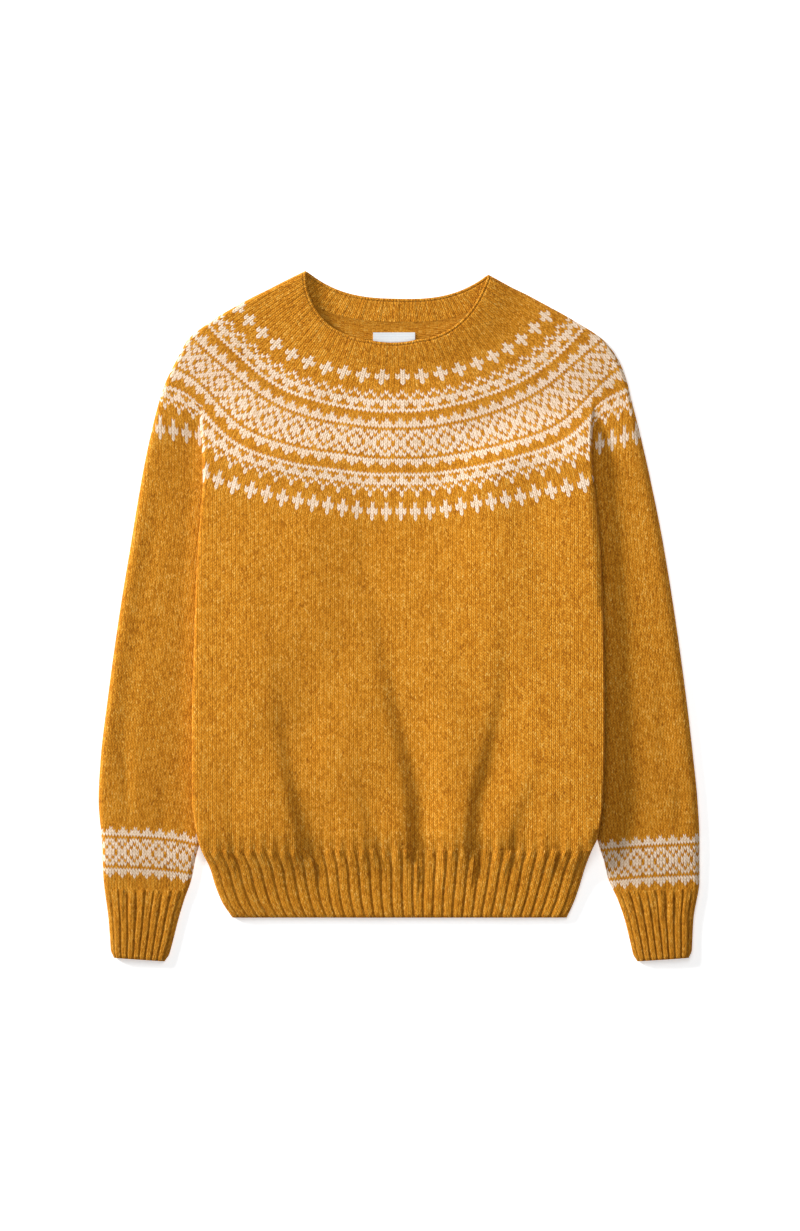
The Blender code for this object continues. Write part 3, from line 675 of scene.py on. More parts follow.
@dataclass(frozen=True)
class Loom:
    """Sets out the two skins of a panel or a tube from its plan."""

    rows: Array
    columns: Array
    roll: float
    roll_steps: int = 8
    ruler_steps: int = 60
    inset: float = 1.0
    corner_start: float = 0.86
    corner_power: int = 6

    def row_length(self, plan: Plan, down: float) -> float:
        """Length of one row of a plan."""
        ruler = plan(even(self.ruler_steps), np.full(self.ruler_steps, down))
        return float(np.sum(np.hypot(*np.diff(ruler, axis=0).T)))

    def section(self, plan: Plan, down: float, columns: Array, inner: bool) -> tuple[Array, Array, Array]:
        """Points of one row, with its rounded ends.

        Args:
            plan: the panel's plan.
            down: which row, 0 to 1.
            columns: parts between the side folds.
            inner: whether the row is the inner skin's.

        Returns:
            x and y of each point, how far up the side fold each lies, and its part across.
        """
        angle = np.linspace(0.0, math.pi / 2, self.roll_steps + 1)[:-1]
        start = LAY.wall if inner else 0.0
        parts = (start + (self.roll - start) * (1.0 - np.cos(angle))) / self.row_length(plan, down)
        across = np.concatenate([parts, columns, 1.0 - parts[::-1]])
        rising = np.concatenate([np.sin(angle), np.ones(len(columns)), np.sin(angle)[::-1]])
        return plan(across, np.full(len(across), down)), rising, across

    def both_skins(self, row: Callable[[float, bool], tuple[Array, Array]]) -> tuple[Array, Array, Array]:
        """Set out the outer and the inner skin, row by row.

        Args:
            row: gives one row's points and their parts across, from its part down and whether it is inner.

        Returns:
            The outer and the inner skin, and the parts across and down of each outer point.
        """
        outer = [row(down, False) for down in self.rows]
        inner = [row(down, True)[0] for down in self.rows]
        parts = [np.stack([across, np.full(len(across), down)], -1)
                 for (_, across), down in zip(outer, self.rows)]
        return np.array([points for points, _ in outer]), np.array(inner), np.array(parts)

    def upper(self, plan: Plan, rim: Height, height: Height,
              relief: Relief | None = None) -> tuple[Array, Array, Array]:
        """Skins of a panel of the upper layer, whose sides fold down to a rim.

        Args:
            plan: the panel's plan.
            rim: height at which its side folds end.
            height: height of its outer face.
            relief: what stands up on the outer face, from across, down and y.

        Returns:
            The outer and the inner skin, and the parts across and down of each point.
        """
        def row(down: float, inner: bool) -> tuple[Array, Array]:
            """Set out one row.

            Args:
                down: its part down.
                inner: whether it is the inner skin's.

            Returns:
                Its points and their parts across.
            """
            points, rising, across = self.section(plan, down, self.columns, inner)
            x, y = points.T
            foot = rim(x, y)
            z = foot + (height(x, y) - (LAY.wall if inner else 0.0) - foot) * rising
            if relief is not None and not inner:
                z = z + relief(across, np.full(len(x), down), y) * rising
            return np.stack([x, y, z], -1), across
        return self.both_skins(row)

    def lower(self, plan: Plan, height: Height) -> tuple[Array, Array, Array]:
        """Skins of a panel of the lower layer.

        Args:
            plan: the panel's plan.
            height: height of its underside.

        Returns:
            Its upper face and its underside, and the parts across and down of each point.
        """
        def row(down: float, inner: bool) -> tuple[Array, Array]:
            """Set out one row.

            Args:
                down: its part down.
                inner: whether it is the inner skin's.

            Returns:
                Its points and their parts across.
            """
            across = inside(self.columns, self.inset / self.row_length(plan, down))
            x, y = plan(across, np.full(len(across), down)).T
            return np.stack([x, y, height(x, y) + (0.0 if inner else LAY.wall)], -1), across
        return self.both_skins(row)

    def tube(self, plan: Plan, height: Height, foot_columns: Array, corner: float = 0.0,
             relief: Relief | None = None) -> tuple[Array, Array, Array]:
        """Skins of a flattened tube that lies on the surface.

        Args:
            plan: the tube's plan.
            height: height of its upper face.
            foot_columns: parts across of its underside.
            corner: how much its lower corners are drawn in.
            relief: what stands up on the upper face, from across, down and y.

        Returns:
            The outer and the inner skin as rings, and the parts across and down of each point.
        """
        middle = 0.5 * LAY.pressed

        def row(down: float, inner: bool) -> tuple[Array, Array]:
            """Set out one ring, over and back.

            Args:
                down: its part down.
                inner: whether it is the inner skin's.

            Returns:
                Its points and their parts across.
            """
            wall = LAY.wall if inner else 0.0
            rings, marks = [], []
            for columns, upper in ((self.columns, True), (foot_columns, False)):
                points, rising, across = self.section(plan, down, columns, inner)
                draw = corner * float(ease(self.corner_start, 1.0, down)) ** 2
                draw = draw / abs(points[-1, 0] - points[0, 0])
                centre = points[len(points) // 2]
                points = centre + (points - centre) * (
                    1.0 - draw * np.abs(2.0 * across - 1.0) ** self.corner_power)[:, None]
                x, y = points.T
                z = middle + ((height(x, y) - wall - middle) if upper else (wall - middle)) * rising
                if upper and relief is not None and not inner:
                    z = z + relief(across, np.full(len(x), down), y) * rising
                turn = slice(None) if upper else slice(-2, 0, -1)
                rings.append(np.stack([x, y, z], -1)[turn])
                marks.append(across[turn])
            return np.concatenate(rings), np.concatenate(marks)
        return self.both_skins(row)


@dataclass(frozen=True)
class Ribs:
    """A run of raised ribs, each two knitted wales between sunk purl ones.

    flank is where a rib's side begins and ends, as parts of the pitch from its middle.
    """

    count: int
    start: float
    stop: float
    relief: float
    stitches: int = 3
    rows: float = 24.0
    flank: tuple[float, float] = (0.30, 0.47)
    fade: float = 0.0
    fade_from: float = 0.0
    wobble: float = 0.0
    steps: int = 14
    # A rib's rounded top, the dip between its wales (depth, width), how unevenly the ribs start (mm and
    # turn from rib to rib), and how their sides wander (size, run along in mm, turn from rib to rib).
    dome: float = 0.16
    dip: tuple[float, float] = (0.10, 0.06)
    uneven: tuple[float, float] = (3.5, 1.9)
    wanders: tuple[tuple[float, float, float], ...] = ((0.6, 6.5, 2.1), (1.0, 19.0, -1.3))

    def columns(self) -> Array:
        """Parts across, evenly over every rib."""
        return self.start + (self.stop - self.start) * even(self.count * self.steps + 1)

    def phase(self, across: Array, y: Array) -> Array:
        """Count the ribs from the first groove; their sides wander a little.

        Args:
            across: parts across.
            y: the heights.

        Returns:
            The number of ribs to the left of each place.
        """
        whole = (across - self.start) / (self.stop - self.start) * self.count
        wander = sum(size * np.sin(y / run + turn * whole) for size, run, turn in self.wanders)
        return whole + self.wobble * wander

    def crest(self, across: Array, y: Array) -> Array:
        """Shape of the ribs, with a faint dip between the two wales.

        Args:
            across: parts across.
            y: the heights.

        Returns:
            The shape at each place, from 0 to 1.
        """
        whole = self.phase(across, y)
        aside = np.abs(whole - np.floor(whole) - 0.5)
        depth, width = self.dip
        dome = 1.0 - self.dome * (aside / self.flank[0]).clip(0.0, 1.5) ** 2 - depth * bell(aside, 0.0, width)
        within = (whole > 0) & (whole < self.count)
        return np.where(within, dome * ease(self.flank[1], self.flank[0], aside), 0.0)

    def raised(self, across: Array, y: Array) -> Array:
        """Height of the ribs, which rise from the plain cloth above them.

        Args:
            across: parts across.
            y: the heights.

        Returns:
            The height at each place.
        """
        size, turn = self.uneven
        uneven = size * np.sin(turn * np.round(self.phase(across, 0.0 * y)))
        grow = ease(0.0, self.fade, self.fade_from + uneven - y) if self.fade else 1.0
        return self.relief * self.crest(across, y) * grow

    def stitch_map(self, parts: Array, y: Array) -> Array:
        """Column and row of stitches; a rib's groove is at a whole number of its stitches."""
        return np.stack([self.phase(parts[..., 0], y) * self.stitches, parts[..., 1] * self.rows], -1)


# The last rows of points where a ribbed edge rounds over, as parts down.
EDGE_ROWS = (0.98, 0.992, 1.0)


# ---------------------------------------------------------------------------------------- the patterns


# Stitches a repeat, rows that a chart holds, and how many of them come before row 0.
REPEAT = 8
CHART_ROWS = 64
LEAD_ROWS = 2


@dataclass(frozen=True)
class Chart:
    """A knitting chart: eight stitches a repeat, x for the light yarn, and where its rows begin."""

    first: int
    rows: tuple[str, ...]

    def masks(self) -> list[int]:
        """Read each row from -2 to 61 as a number.

        Returns:
            The numbers, each with a bit for each light stitch.
        """
        masks = [0] * CHART_ROWS
        for number, row in enumerate(self.rows, self.first + LEAD_ROWS):
            masks[number] = sum(1 << place for place, mark in enumerate(row) if mark == "x")
        return masks


CROSS = "x...x..."
BROAD = "xx.xxx.x"
FULL = "xxxxxxxx"
BARE = "........"
PEERIE = (CROSS, ".x.x.x.x", "..x...x.", FULL, BROAD, CROSS, FULL)
HALF_RING = (BROAD, ".xx.x.xx", "x.xx.xx.", BROAD)
BAND = (CROSS, BROAD, FULL, BARE, *HALF_RING, *HALF_RING[::-1], BARE, FULL, BROAD, CROSS)
CROSSES = (CROSS, CROSS, BROAD, BROAD, CROSS, CROSS)
YOKE_CHART = Chart(-1, (*CROSSES, BARE, BARE, *PEERIE, BARE, BARE, *BAND, BARE, BARE, *PEERIE[::-1], CROSS,
                        BARE, BARE, *CROSSES))
CUFF_CHART = Chart(16, BAND)


@dataclass(frozen=True)
class Zone:
    """A run of rounds between two decrease rounds: where its motifs stand, and how its wales lean.

    angles are the motifs' places in degrees, first is the first one's stitch, step the stitches between.
    """

    last_row: float
    row: float
    lean: float
    first: int
    step: int
    angles: tuple[float, ...]

    def stitch(self, angle: Array) -> Array:
        """Count the stitches to an angle.

        Args:
            angle: in degrees, below zero to the left.

        Returns:
            The column of stitches at each angle.
        """
        numbers = self.first + self.step * np.arange(len(self.angles), dtype=float)
        inner = smooth_read(np.array(self.angles), numbers, angle)
        low, high = self.angles[0], self.angles[-1]
        return (inner + (angle - low).clip(None, 0.0) * self.step / (self.angles[1] - low)
                + (angle - high).clip(0.0) * self.step / (high - self.angles[-2]))


@dataclass(frozen=True)
class YokeRounds:
    """The rounds of the circular yoke, polar about the neck, and how they run over the sleeves.

    Each row of left and right is a round's number and its radius at each of the angles. Each row of the
    two sleeve tables is an x and the y at which each of sleeve_rows lies there. sleeve_columns holds where
    the wales start and their pitch, on the left and on the right, for each of the last two zones.
    """

    pole: tuple[float, float] = (0.0, 354.0)
    angles: tuple[float, ...] = (0, 15, 30, 40, 45, 50, 55, 60, 65, 70, 80)
    left: tuple[tuple[float, ...], ...] = (
        (2.5, 114.1, 117.2, 124.8, 132.8, 137.2, 141.8, 146.4, 151.0, 156.0, 161.5, 171.0),
        (15, 153.0, 156.4, 164.7, 173.8, 178.0, 181.6, 185.2, 189.5, 195.6, 203.0, 216.0),
        (19.5, 166.6, 169.6, 179.7, 187.9, 191.8, 195.6, 200.0, 205.5, 212.7, 221.0, 235.0),
        (28.5, 195.3, 198.3, 211.3, 222.8, 227.2, 228.4, 229.8, 234.5, 246.2, 256.0, 275.0),
        (34, 210.7, 215.3, 229.3, 241.0, 244.3, 245.0, 245.5, 254.5, 281.0, 298.0, 320.0),
        (47, 249.2, 252.8, 267.5, 284.0, 290.0, 297.0, 304.0, 312.0, 326.0, 340.0, 360.0))
    right: tuple[tuple[float, ...], ...] = (
        (2.5, 114.1, 116.8, 123.0, 129.4, 133.0, 137.2, 141.8, 146.5, 151.2, 156.0, 165.0),
        (15, 153.0, 155.0, 161.3, 169.2, 173.8, 178.6, 183.6, 188.8, 194.4, 200.5, 213.0),
        (19.5, 166.6, 168.8, 176.3, 184.2, 188.8, 193.2, 197.6, 202.7, 210.0, 219.0, 233.0),
        (28.5, 195.3, 198.6, 208.8, 220.8, 226.3, 229.4, 232.0, 236.3, 244.7, 256.0, 274.0),
        (34, 210.7, 215.0, 225.5, 238.5, 243.5, 244.7, 246.0, 257.0, 281.0, 298.0, 320.0),
        (47, 249.2, 252.4, 268.3, 289.5, 296.0, 303.0, 309.0, 316.0, 328.0, 342.0, 360.0))
    row_height: float = 2.75
    last_row_height: float = 3.0
    sleeve_row_height: float = 3.2
    first_rows: tuple[float, float] = (1.2, 1.0)
    zones: tuple[Zone, ...] = (
        Zone(6.0, 2.5, 0.0015, -40, 4, (
            -74.2, -68.9, -62.7, -56.3, -49.3, -42.1, -34.4, -26.7, -17.7, -8.5, 1.9, 11.25, 20.6, 29.4,
            37.75, 45.0, 51.7, 57.75, 64.2, 69.75)),
        Zone(15.0, 10.5, 0.0015, -56, 4, (
            -78.0, -73.4, -68.7, -64.0, -58.9, -53.6, -48.2, -42.7, -37.0, -31.1, -25.0, -18.6, -12.1,
            -5.4, 1.4, 8.1, 14.8, 21.4, 27.8, 34.0, 40.0, 45.7, 51.2, 56.6, 61.8, 66.8, 71.7, 76.4)),
        Zone(33.0, 24.0, 0.0016, -64, 8, (
            -62.3, -56.0, -47.7, -39.2, -31.7, -22.9, -13.6, -4.2, 5.25, 14.75, 24.0, 32.3, 40.4, 47.9,
            55.25, 62.25)),
        Zone(43.0, 38.5, 0.0018, -56, 4, (
            -50.4, -47.0, -43.6, -40.2, -36.8, -33.4, -29.9, -26.3, -22.7, -18.9, -15.1, -11.2, -7.2,
            -3.3, 0.7, 4.6, 8.6, 12.5, 16.4, 20.2, 24.0, 27.7, 31.3, 34.7, 38.0, 41.4, 44.7, 48.1, 51.4)),
        Zone(99.0, 47.0, 0.0020, -52, 4, (
            -42.5, -39.6, -36.4, -32.9, -29.6, -26.25, -22.9, -19.6, -16.25, -12.9, -9.6, -6.1, -2.9,
            0.45, 3.75, 7.0, 10.8, 14.2, 17.75, 21.0, 24.2, 27.3, 30.4, 33.5, 36.5, 39.6)))
    sleeve_left: tuple[tuple[float, ...], ...] = (
        (-249, 232, 213, 187, 176.5), (-234, 229.3, 208, 185.7, 175), (-219, 226, 201.5, 184, 173),
        (-204, 216, 197, 181, 170), (-192, 206, 194, 179, 168))
    sleeve_right: tuple[tuple[float, ...], ...] = (
        (193, 206, 189, 169, 158), (206, 217, 192, 173, 162), (219, 223, 196, 176, 165),
        (232, 228, 201, 179.5, 168.5), (246, 232, 205, 183, 172))
    sleeve_rows: tuple[float, ...] = (34, 42, 47, 50.5)
    sleeve_columns: tuple[tuple[float, ...], ...] = ((-206.0, 3.5, 206.3, 3.2), (-199.5, 3.26, 201.0, 3.05))

    def polar(self, x: Array, y: Array) -> list[Array]:
        """Stitch maps of the rounds as they run over the body, one for each zone.

        Args:
            x: places on the yoke.
            y: the same.

        Returns:
            A list of maps, each the column and the row of stitches.
        """
        angle = np.degrees(np.arctan2(x - self.pole[0], self.pole[1] - y))
        radius = np.hypot(x - self.pole[0], self.pole[1] - y)
        numbers = np.array([ring[0] for ring in self.left])
        rings = []
        for left, right in zip(self.left, self.right):
            rings.append(np.where(angle < 0, smooth_read(self.angles, left[1:], np.abs(angle)),
                                  smooth_read(self.angles, right[1:], np.abs(angle))))
        row = numbers[0] - (rings[0] - radius).clip(0.0) / self.row_height
        for k in range(len(numbers) - 1):
            part = np.clip((radius - rings[k]) / (rings[k + 1] - rings[k]), 0.0, 1.0)
            row = row + part * (numbers[k + 1] - numbers[k])
        row = row + (radius - rings[-1]).clip(0.0) / self.last_row_height
        # The first crosses' rows lie closer together.
        closer, shift = self.first_rows
        row = np.minimum(row, closer * row - shift)
        maps = []
        for zone in self.zones:
            k = min(int(np.searchsorted(numbers, zone.row, side="right")), len(numbers) - 1)
            part = (zone.row - numbers[k - 1]) / (numbers[k] - numbers[k - 1])
            middle = rings[k - 1] + part * (rings[k] - rings[k - 1])
            turned = angle * (1.0 + zone.lean * (radius - middle))
            maps.append(np.stack([zone.stitch(turned), row], -1))
        return maps

    def over_sleeve(self, x: Array, y: Array) -> list[Array]:
        """Stitch maps of the rounds outside the creases.

        Args:
            x: places on the yoke.
            y: the same.

        Returns:
            A list of two maps, for the last two zones.
        """
        side_rows = []
        for table in (self.sleeve_left, self.sleeve_right):
            places = np.array(table, float).T
            lines = [smooth_read(places[0], line, x) for line in places[1:]]
            row = self.sleeve_rows[0] - (y - lines[0]).clip(0.0) / self.sleeve_row_height
            for k in range(len(lines) - 1):
                part = np.clip((lines[k] - y) / (lines[k] - lines[k + 1]), 0.0, 1.0)
                row = row + part * (self.sleeve_rows[k + 1] - self.sleeve_rows[k])
            side_rows.append(row + (lines[-1] - y).clip(0.0) / self.row_height)
        row = np.where(x < 0, *side_rows)
        maps = []
        for left, left_pitch, right, right_pitch in self.sleeve_columns:
            column = np.where(x < 0, (x - left) / left_pitch, (x - right) / right_pitch)
            maps.append(np.stack([column, row], -1))
        return maps


# ---------------------------------------------------------------------------------------- the finishes


def linear(code: str) -> tuple[float, float, float, float]:
    """Turn an sRGB hex colour to a linear one.

    Args:
        code: six hex digits.

    Returns:
        Linear red, green, blue and an alpha of 1.
    """
    parts = [int(code[i:i + 2], 16) / 255.0 for i in (0, 2, 4)]
    red, green, blue = (p / 12.92 if p <= 0.04045 else ((p + 0.055) / 1.055) ** 2.4 for p in parts)
    return red, green, blue, 1.0


def add_node(tree: Tree, kind: str, links: dict[int | str, object] | Sequence[object] = (),
             **settings: object) -> Node:
    """Add a node with its settings and its links.

    Args:
        tree: the material's nodes.
        kind: Blender's name for the node's type.
        links: for each input, a socket to link, a node whose first output to link, or a value to set.
        **settings: the node's own properties.

    Returns:
        The node.
    """
    node = tree.nodes.new(kind)
    for name, value in settings.items():
        setattr(node, name, value)
    for key, value in links.items() if isinstance(links, dict) else enumerate(links):
        if isinstance(value, Node):
            value = value.outputs[0]
        if isinstance(value, Socket):
            tree.links.new(value, node.inputs[key])
        else:
            node.inputs[key].default_value = value
    return node


def new_material(name: str) -> Material:
    """Make a material with no nodes yet.

    Args:
        name: its name.

    Returns:
        The material.
    """
    material = bpy.data.materials.new(name)
    material.use_nodes = True
    material.node_tree.nodes.clear()
    return material


@dataclass(frozen=True)
class Yarn:
    """A heathered yarn: the shades of its fibres, dark to light, and the dark tint that is painted into its
    hollows as shade.
    """

    shades: tuple[tuple[float, str], ...]
    shadow: str


# Woollen-spun heather: gold, brown and orange fibres mixed before spinning, so it looks mottled.
# Its shadow colour is painted shade, for the hollows between stitches and the grooves between ribs.
OCHRE_WOOL = Yarn(((0.0, "8E500C"), (0.2, "B36D10"), (0.4, "CA821C"), (0.55, "D48C22"), (0.72, "DC9A34"),
                   (0.86, "E5AC4C"), (1.0, "F0C06C")), "6E410A")
# Undyed natural wool: a warm off-white that the ochre's loose fibres tint.
# Its shadow colour, an ochre brown, is painted into the hollows: partly the ochre carried behind showing
# through, partly painted shade.
CREAM_WOOL = Yarn(((0.0, "D6B48A"), (0.3, "E8CEB0"), (0.6, "F2DBC3"), (1.0, "FAE8D5")), "A87433")


@dataclass(frozen=True)
class Mottle:
    """How a yarn's shade wanders: from leg to leg of its stitches, in drawn-out flecks and in soft clouds."""

    leg: float = 0.5
    fleck: float = 1.35
    cloud: float = 0.3
    shift: float = -0.61
    fleck_scale: float = 700.0
    fleck_drawn: tuple[float, float, float] = (1.25, 0.8, 1.25)
    cloud_scale: float = 60.0


@dataclass(frozen=True)
class Grooves:
    """How a rib's purl columns look: stitches a rib, where they begin and end, depth, painted shade, first
    rows.

    A linked edge has a line of small holes along a row: how many to a stitch, and how dark each is painted,
    as shade in the hole.
    """

    stitches: float = 3.0
    edges: tuple[float, float] = (0.36, 0.46)
    depth: float = 0.8
    shade: float = 0.36
    grow: float = 3.0
    linked: bool = False
    hole_row: float = 1.04
    hole_reach: tuple[float, float] = (0.32, 0.1)
    holes: float = 0.8
    hole_edges: tuple[float, float] = (-0.5, 0.8)
    hole_shades: tuple[float, float] = (0.15, 0.6)


# Deep grooves between the welt's and the cuffs' ribs; shallow ones, closer together, on the neckband.
# Each groove is also painted darker, as shade.
RIB_GROOVES = Grooves()
NECK_GROOVES = Grooves(5.0 / 3.0, (0.22, 0.42), 0.3, 0.18, 0.0, True)


@dataclass(frozen=True)
class KnittedWool:
    """Wool knitted by machine at 26 stitches to 10 cm: matt, mottled, soft V stitches, a slight halo."""

    name: str
    knit: Knit
    chart: Chart | None = None
    grooves: Grooves = RIB_GROOVES
    main: Yarn = OCHRE_WOOL
    light: Yarn = CREAM_WOOL
    mottle: Mottle = Mottle()
    slant: float = 0.85
    purl_slant: float = 0.25
    # A leg is highest a little inside its middle, so wales part more deeply than legs.
    leg: tuple[float, float] = (3.5714, -0.7857)
    purl_leg: float = 4.0
    leg_round: float = 0.6
    tuck: float = 0.75
    tuck_power: float = 4.0
    relief: float = 0.0008
    # Painted shade: how far the hollows between stitches are mixed towards the yarn's shadow colour, for each
    # yarn, and the stitch height below which this is painted.
    hollow_shade: float = 0.78
    light_yarn_hollow_shade: float = 0.95
    hollow_shade_height: float = 0.8
    fuzz: float = 0.5
    fibre_scale: float = 1100.0
    roughness: float = 0.92
    halo: str = "E8B45C"

    def build(self) -> Material:
        """Make the material, which reads the piece's own stitch map.

        Returns:
            The material.
        """
        material = new_material(self.name)
        tree = material.node_tree
        stitches = add_node(tree, "ShaderNodeUVMap", uv_map="stitches")
        u, up, _ = add_node(tree, "ShaderNodeSeparateXYZ", (stitches,)).outputs
        place = add_node(tree, "ShaderNodeTexCoord").outputs["Object"]
        fibre = add_node(tree, "ShaderNodeTexNoise", {
            "Vector": place, "Scale": self.fibre_scale, "Detail": 2.0})
        # Loose fibres blur each stitch's edges.
        lower = add_node(tree, MATH, (up, 0.5 * self.fuzz), operation="SUBTRACT")
        v = add_node(tree, MATH, (fibre, self.fuzz, lower), operation="MULTIPLY_ADD")
        # A stitch's column is centred on a whole number; its two legs rise from the middle.
        shifted = add_node(tree, MATH, (u, 0.5), operation="ADD")
        column = add_node(tree, MATH, (shifted,), operation="FLOOR")
        within = add_node(tree, MATH, (shifted,), operation="FRACT")
        centred = add_node(tree, MATH, (within, 0.5), operation="SUBTRACT")
        aside = add_node(tree, MATH, (centred,), operation="ABSOLUTE")
        slant = self.slant if self.knit is not Knit.PURL else self.purl_slant
        lean = add_node(tree, MATH, (aside, 2.0 * slant, -0.5 * slant), operation="MULTIPLY_ADD")
        leaned = add_node(tree, MATH, (v, lean), operation="ADD")
        row = add_node(tree, MATH, (leaned,), operation="FLOOR")
        along = add_node(tree, MATH, (leaned,), operation="FRACT")
        height = self.stitch_height(tree, aside, along)
        light = self.light_stitches(tree, column, row) if self.chart else None
        right = add_node(tree, MATH, (centred, 0.0), operation="GREATER_THAN")
        leg = add_node(tree, MATH, (column, 2.0, right), operation="MULTIPLY_ADD")
        cell = add_node(tree, "ShaderNodeCombineXYZ", (leg, row))
        # The yarn's colour, with shade painted into the hollows between stitches.
        colour = self.yarn_colour(tree, cell, place, height, light)
        # Ribs: the grooves are sunk and painted with shade.
        if self.knit is Knit.RIB:
            height, colour = self.rib_shade(tree, u, v, height, colour)
        rough = add_node(tree, MATH, (fibre, 0.5, height), operation="MULTIPLY_ADD")
        bump = add_node(tree, "ShaderNodeBump", {"Strength": 0.8, "Distance": self.relief, "Height": rough})
        shader = add_node(tree, "ShaderNodeBsdfPrincipled", {
            "Base Color": colour, "Normal": bump, "Roughness": self.roughness,
            "Specular IOR Level": 0.12, "Sheen Weight": 0.12, "Sheen Roughness": 0.55,
            "Sheen Tint": linear(self.halo)})
        add_node(tree, "ShaderNodeOutputMaterial", (shader,))
        return material

    def stitch_height(self, tree: Tree, aside: Node, along: Node) -> Node:
        """Height of a stitch: each leg is round across, and each row tucks under the next.

        Args:
            tree: the material's nodes.
            aside: distance from the stitch's middle.
            along: place up the stitch's leg, 0 to 1.

        Returns:
            The node that gives the height.
        """
        if self.knit is Knit.PURL:
            leg = add_node(tree, MATH, (aside, self.purl_leg), operation="MULTIPLY")
        else:
            leg = add_node(tree, MATH, (aside, *self.leg), operation="MULTIPLY_ADD")
        square = add_node(tree, MATH, (leg, leg), operation="MULTIPLY")
        across = add_node(tree, MATH, (1.0, square), operation="SUBTRACT", use_clamp=True)
        turn = add_node(tree, MATH, (along, 2.0, -1.0), operation="MULTIPLY_ADD")
        turn = add_node(tree, MATH, (turn,), operation="ABSOLUTE")
        power = add_node(tree, MATH, (turn, self.tuck_power), operation="POWER")
        run = add_node(tree, MATH, (power, -self.tuck, 1.0), operation="MULTIPLY_ADD")
        root = add_node(tree, MATH, (across, self.leg_round), operation="POWER")
        return add_node(tree, MATH, (root, run), operation="MULTIPLY")

    def light_stitches(self, tree: Tree, column: Node, row: Node) -> Node:
        """Look a stitch up in the chart.

        Args:
            tree: the material's nodes.
            column: the stitch's column, a whole number.
            row: its row, a whole number.

        Returns:
            The node that gives 1 where the stitch is knitted in the light yarn.
        """
        masks = self.chart.masks()
        half = CHART_ROWS // 2
        whole = 2 ** REPEAT
        halves = []
        for start in (0, half):
            place = add_node(tree, MATH, (row, 1.0 / half, (LEAD_ROWS + 0.5 - start) / half),
                             operation="MULTIPLY_ADD", use_clamp=True)
            ramp = add_node(tree, "ShaderNodeValToRGB", (place,))
            ramp.color_ramp.interpolation = "CONSTANT"
            stops = ramp.color_ramp.elements
            stops.remove(stops[1])
            for number, mask in enumerate(masks[start:start + half]):
                stop = stops.new(number / half) if number else stops[0]
                stop.color = (mask / whole, mask / whole, mask / whole, 1.0)
            halves.append(ramp)
        late = add_node(tree, MATH, (row, half - LEAD_ROWS - 0.5), operation="GREATER_THAN")
        mask = add_node(tree, "ShaderNodeMix", {0: late, 2: halves[0], 3: halves[1]})
        mask = add_node(tree, MATH, (mask, float(whole), 0.25), operation="MULTIPLY_ADD")
        # The stitch's own bit: the mask over 2 to the power of its place, rounded down, is odd.
        place = add_node(tree, MATH, (column, float(REPEAT)), operation="FLOORED_MODULO")
        bit = add_node(tree, MATH, (2.0, place), operation="POWER")
        cut = add_node(tree, MATH, (mask, bit), operation="DIVIDE")
        cut = add_node(tree, MATH, (cut, 0.001), operation="ADD")
        floor = add_node(tree, MATH, (cut,), operation="FLOOR")
        odd = add_node(tree, MATH, (floor, 2.0), operation="FLOORED_MODULO")
        return add_node(tree, MATH, (odd, 0.5), operation="GREATER_THAN")

    def yarn_colour(self, tree: Tree, cell: Node, place: Socket, height: Node,
                    light: Node | None) -> Socket:
        """Mottle the yarn from leg to leg of its stitches, and paint shade into the hollows between them.

        Args:
            tree: the material's nodes.
            cell: the leg and the row of a stitch.
            place: Object coordinates.
            height: the stitch's height.
            light: 1 where it is knitted in the light yarn, or None without a chart.

        Returns:
            The colour's socket.
        """
        mottle = self.mottle
        chance = add_node(tree, "ShaderNodeTexWhiteNoise", {"Vector": cell}, noise_dimensions="2D")
        drawn = add_node(tree, "ShaderNodeVectorMath", (place, mottle.fleck_drawn), operation="MULTIPLY")
        fleck = add_node(tree, "ShaderNodeTexNoise", {
            "Vector": drawn, "Scale": mottle.fleck_scale, "Detail": 2.5, "Roughness": 0.65})
        cloud = add_node(tree, "ShaderNodeTexNoise", {
            "Vector": place, "Scale": mottle.cloud_scale, "Detail": 3.0})
        mixed = mottle.shift
        for noise, share in ((chance, mottle.leg), (fleck, mottle.fleck), (cloud, mottle.cloud)):
            mixed = add_node(tree, MATH, (noise, share, mixed), operation="MULTIPLY_ADD")
        colours = []
        yarns = ((self.main, self.hollow_shade), (self.light, self.light_yarn_hollow_shade))
        for yarn, hollow_shade in yarns if light else yarns[:1]:
            ramp = add_node(tree, "ShaderNodeValToRGB", (mixed,))
            stops = ramp.color_ramp.elements
            stops.remove(stops[1])
            for number, (place, shade) in enumerate(yarn.shades):
                stop = stops.new(place) if number else stops[0]
                stop.position = place
                stop.color = linear(shade)
            # Painted shade: the low parts of each stitch are mixed towards the yarn's shadow colour.
            depth = add_node(tree, STEP, (height, 0.0, self.hollow_shade_height, hollow_shade, 0.0))
            colours.append(add_node(tree, "ShaderNodeMix", {0: depth, 6: ramp, 7: linear(yarn.shadow)},
                                    data_type="RGBA").outputs[2])
        if light is None:
            return colours[0]
        return add_node(tree, "ShaderNodeMix", {0: light, 6: colours[0], 7: colours[1]},
                        data_type="RGBA").outputs[2]

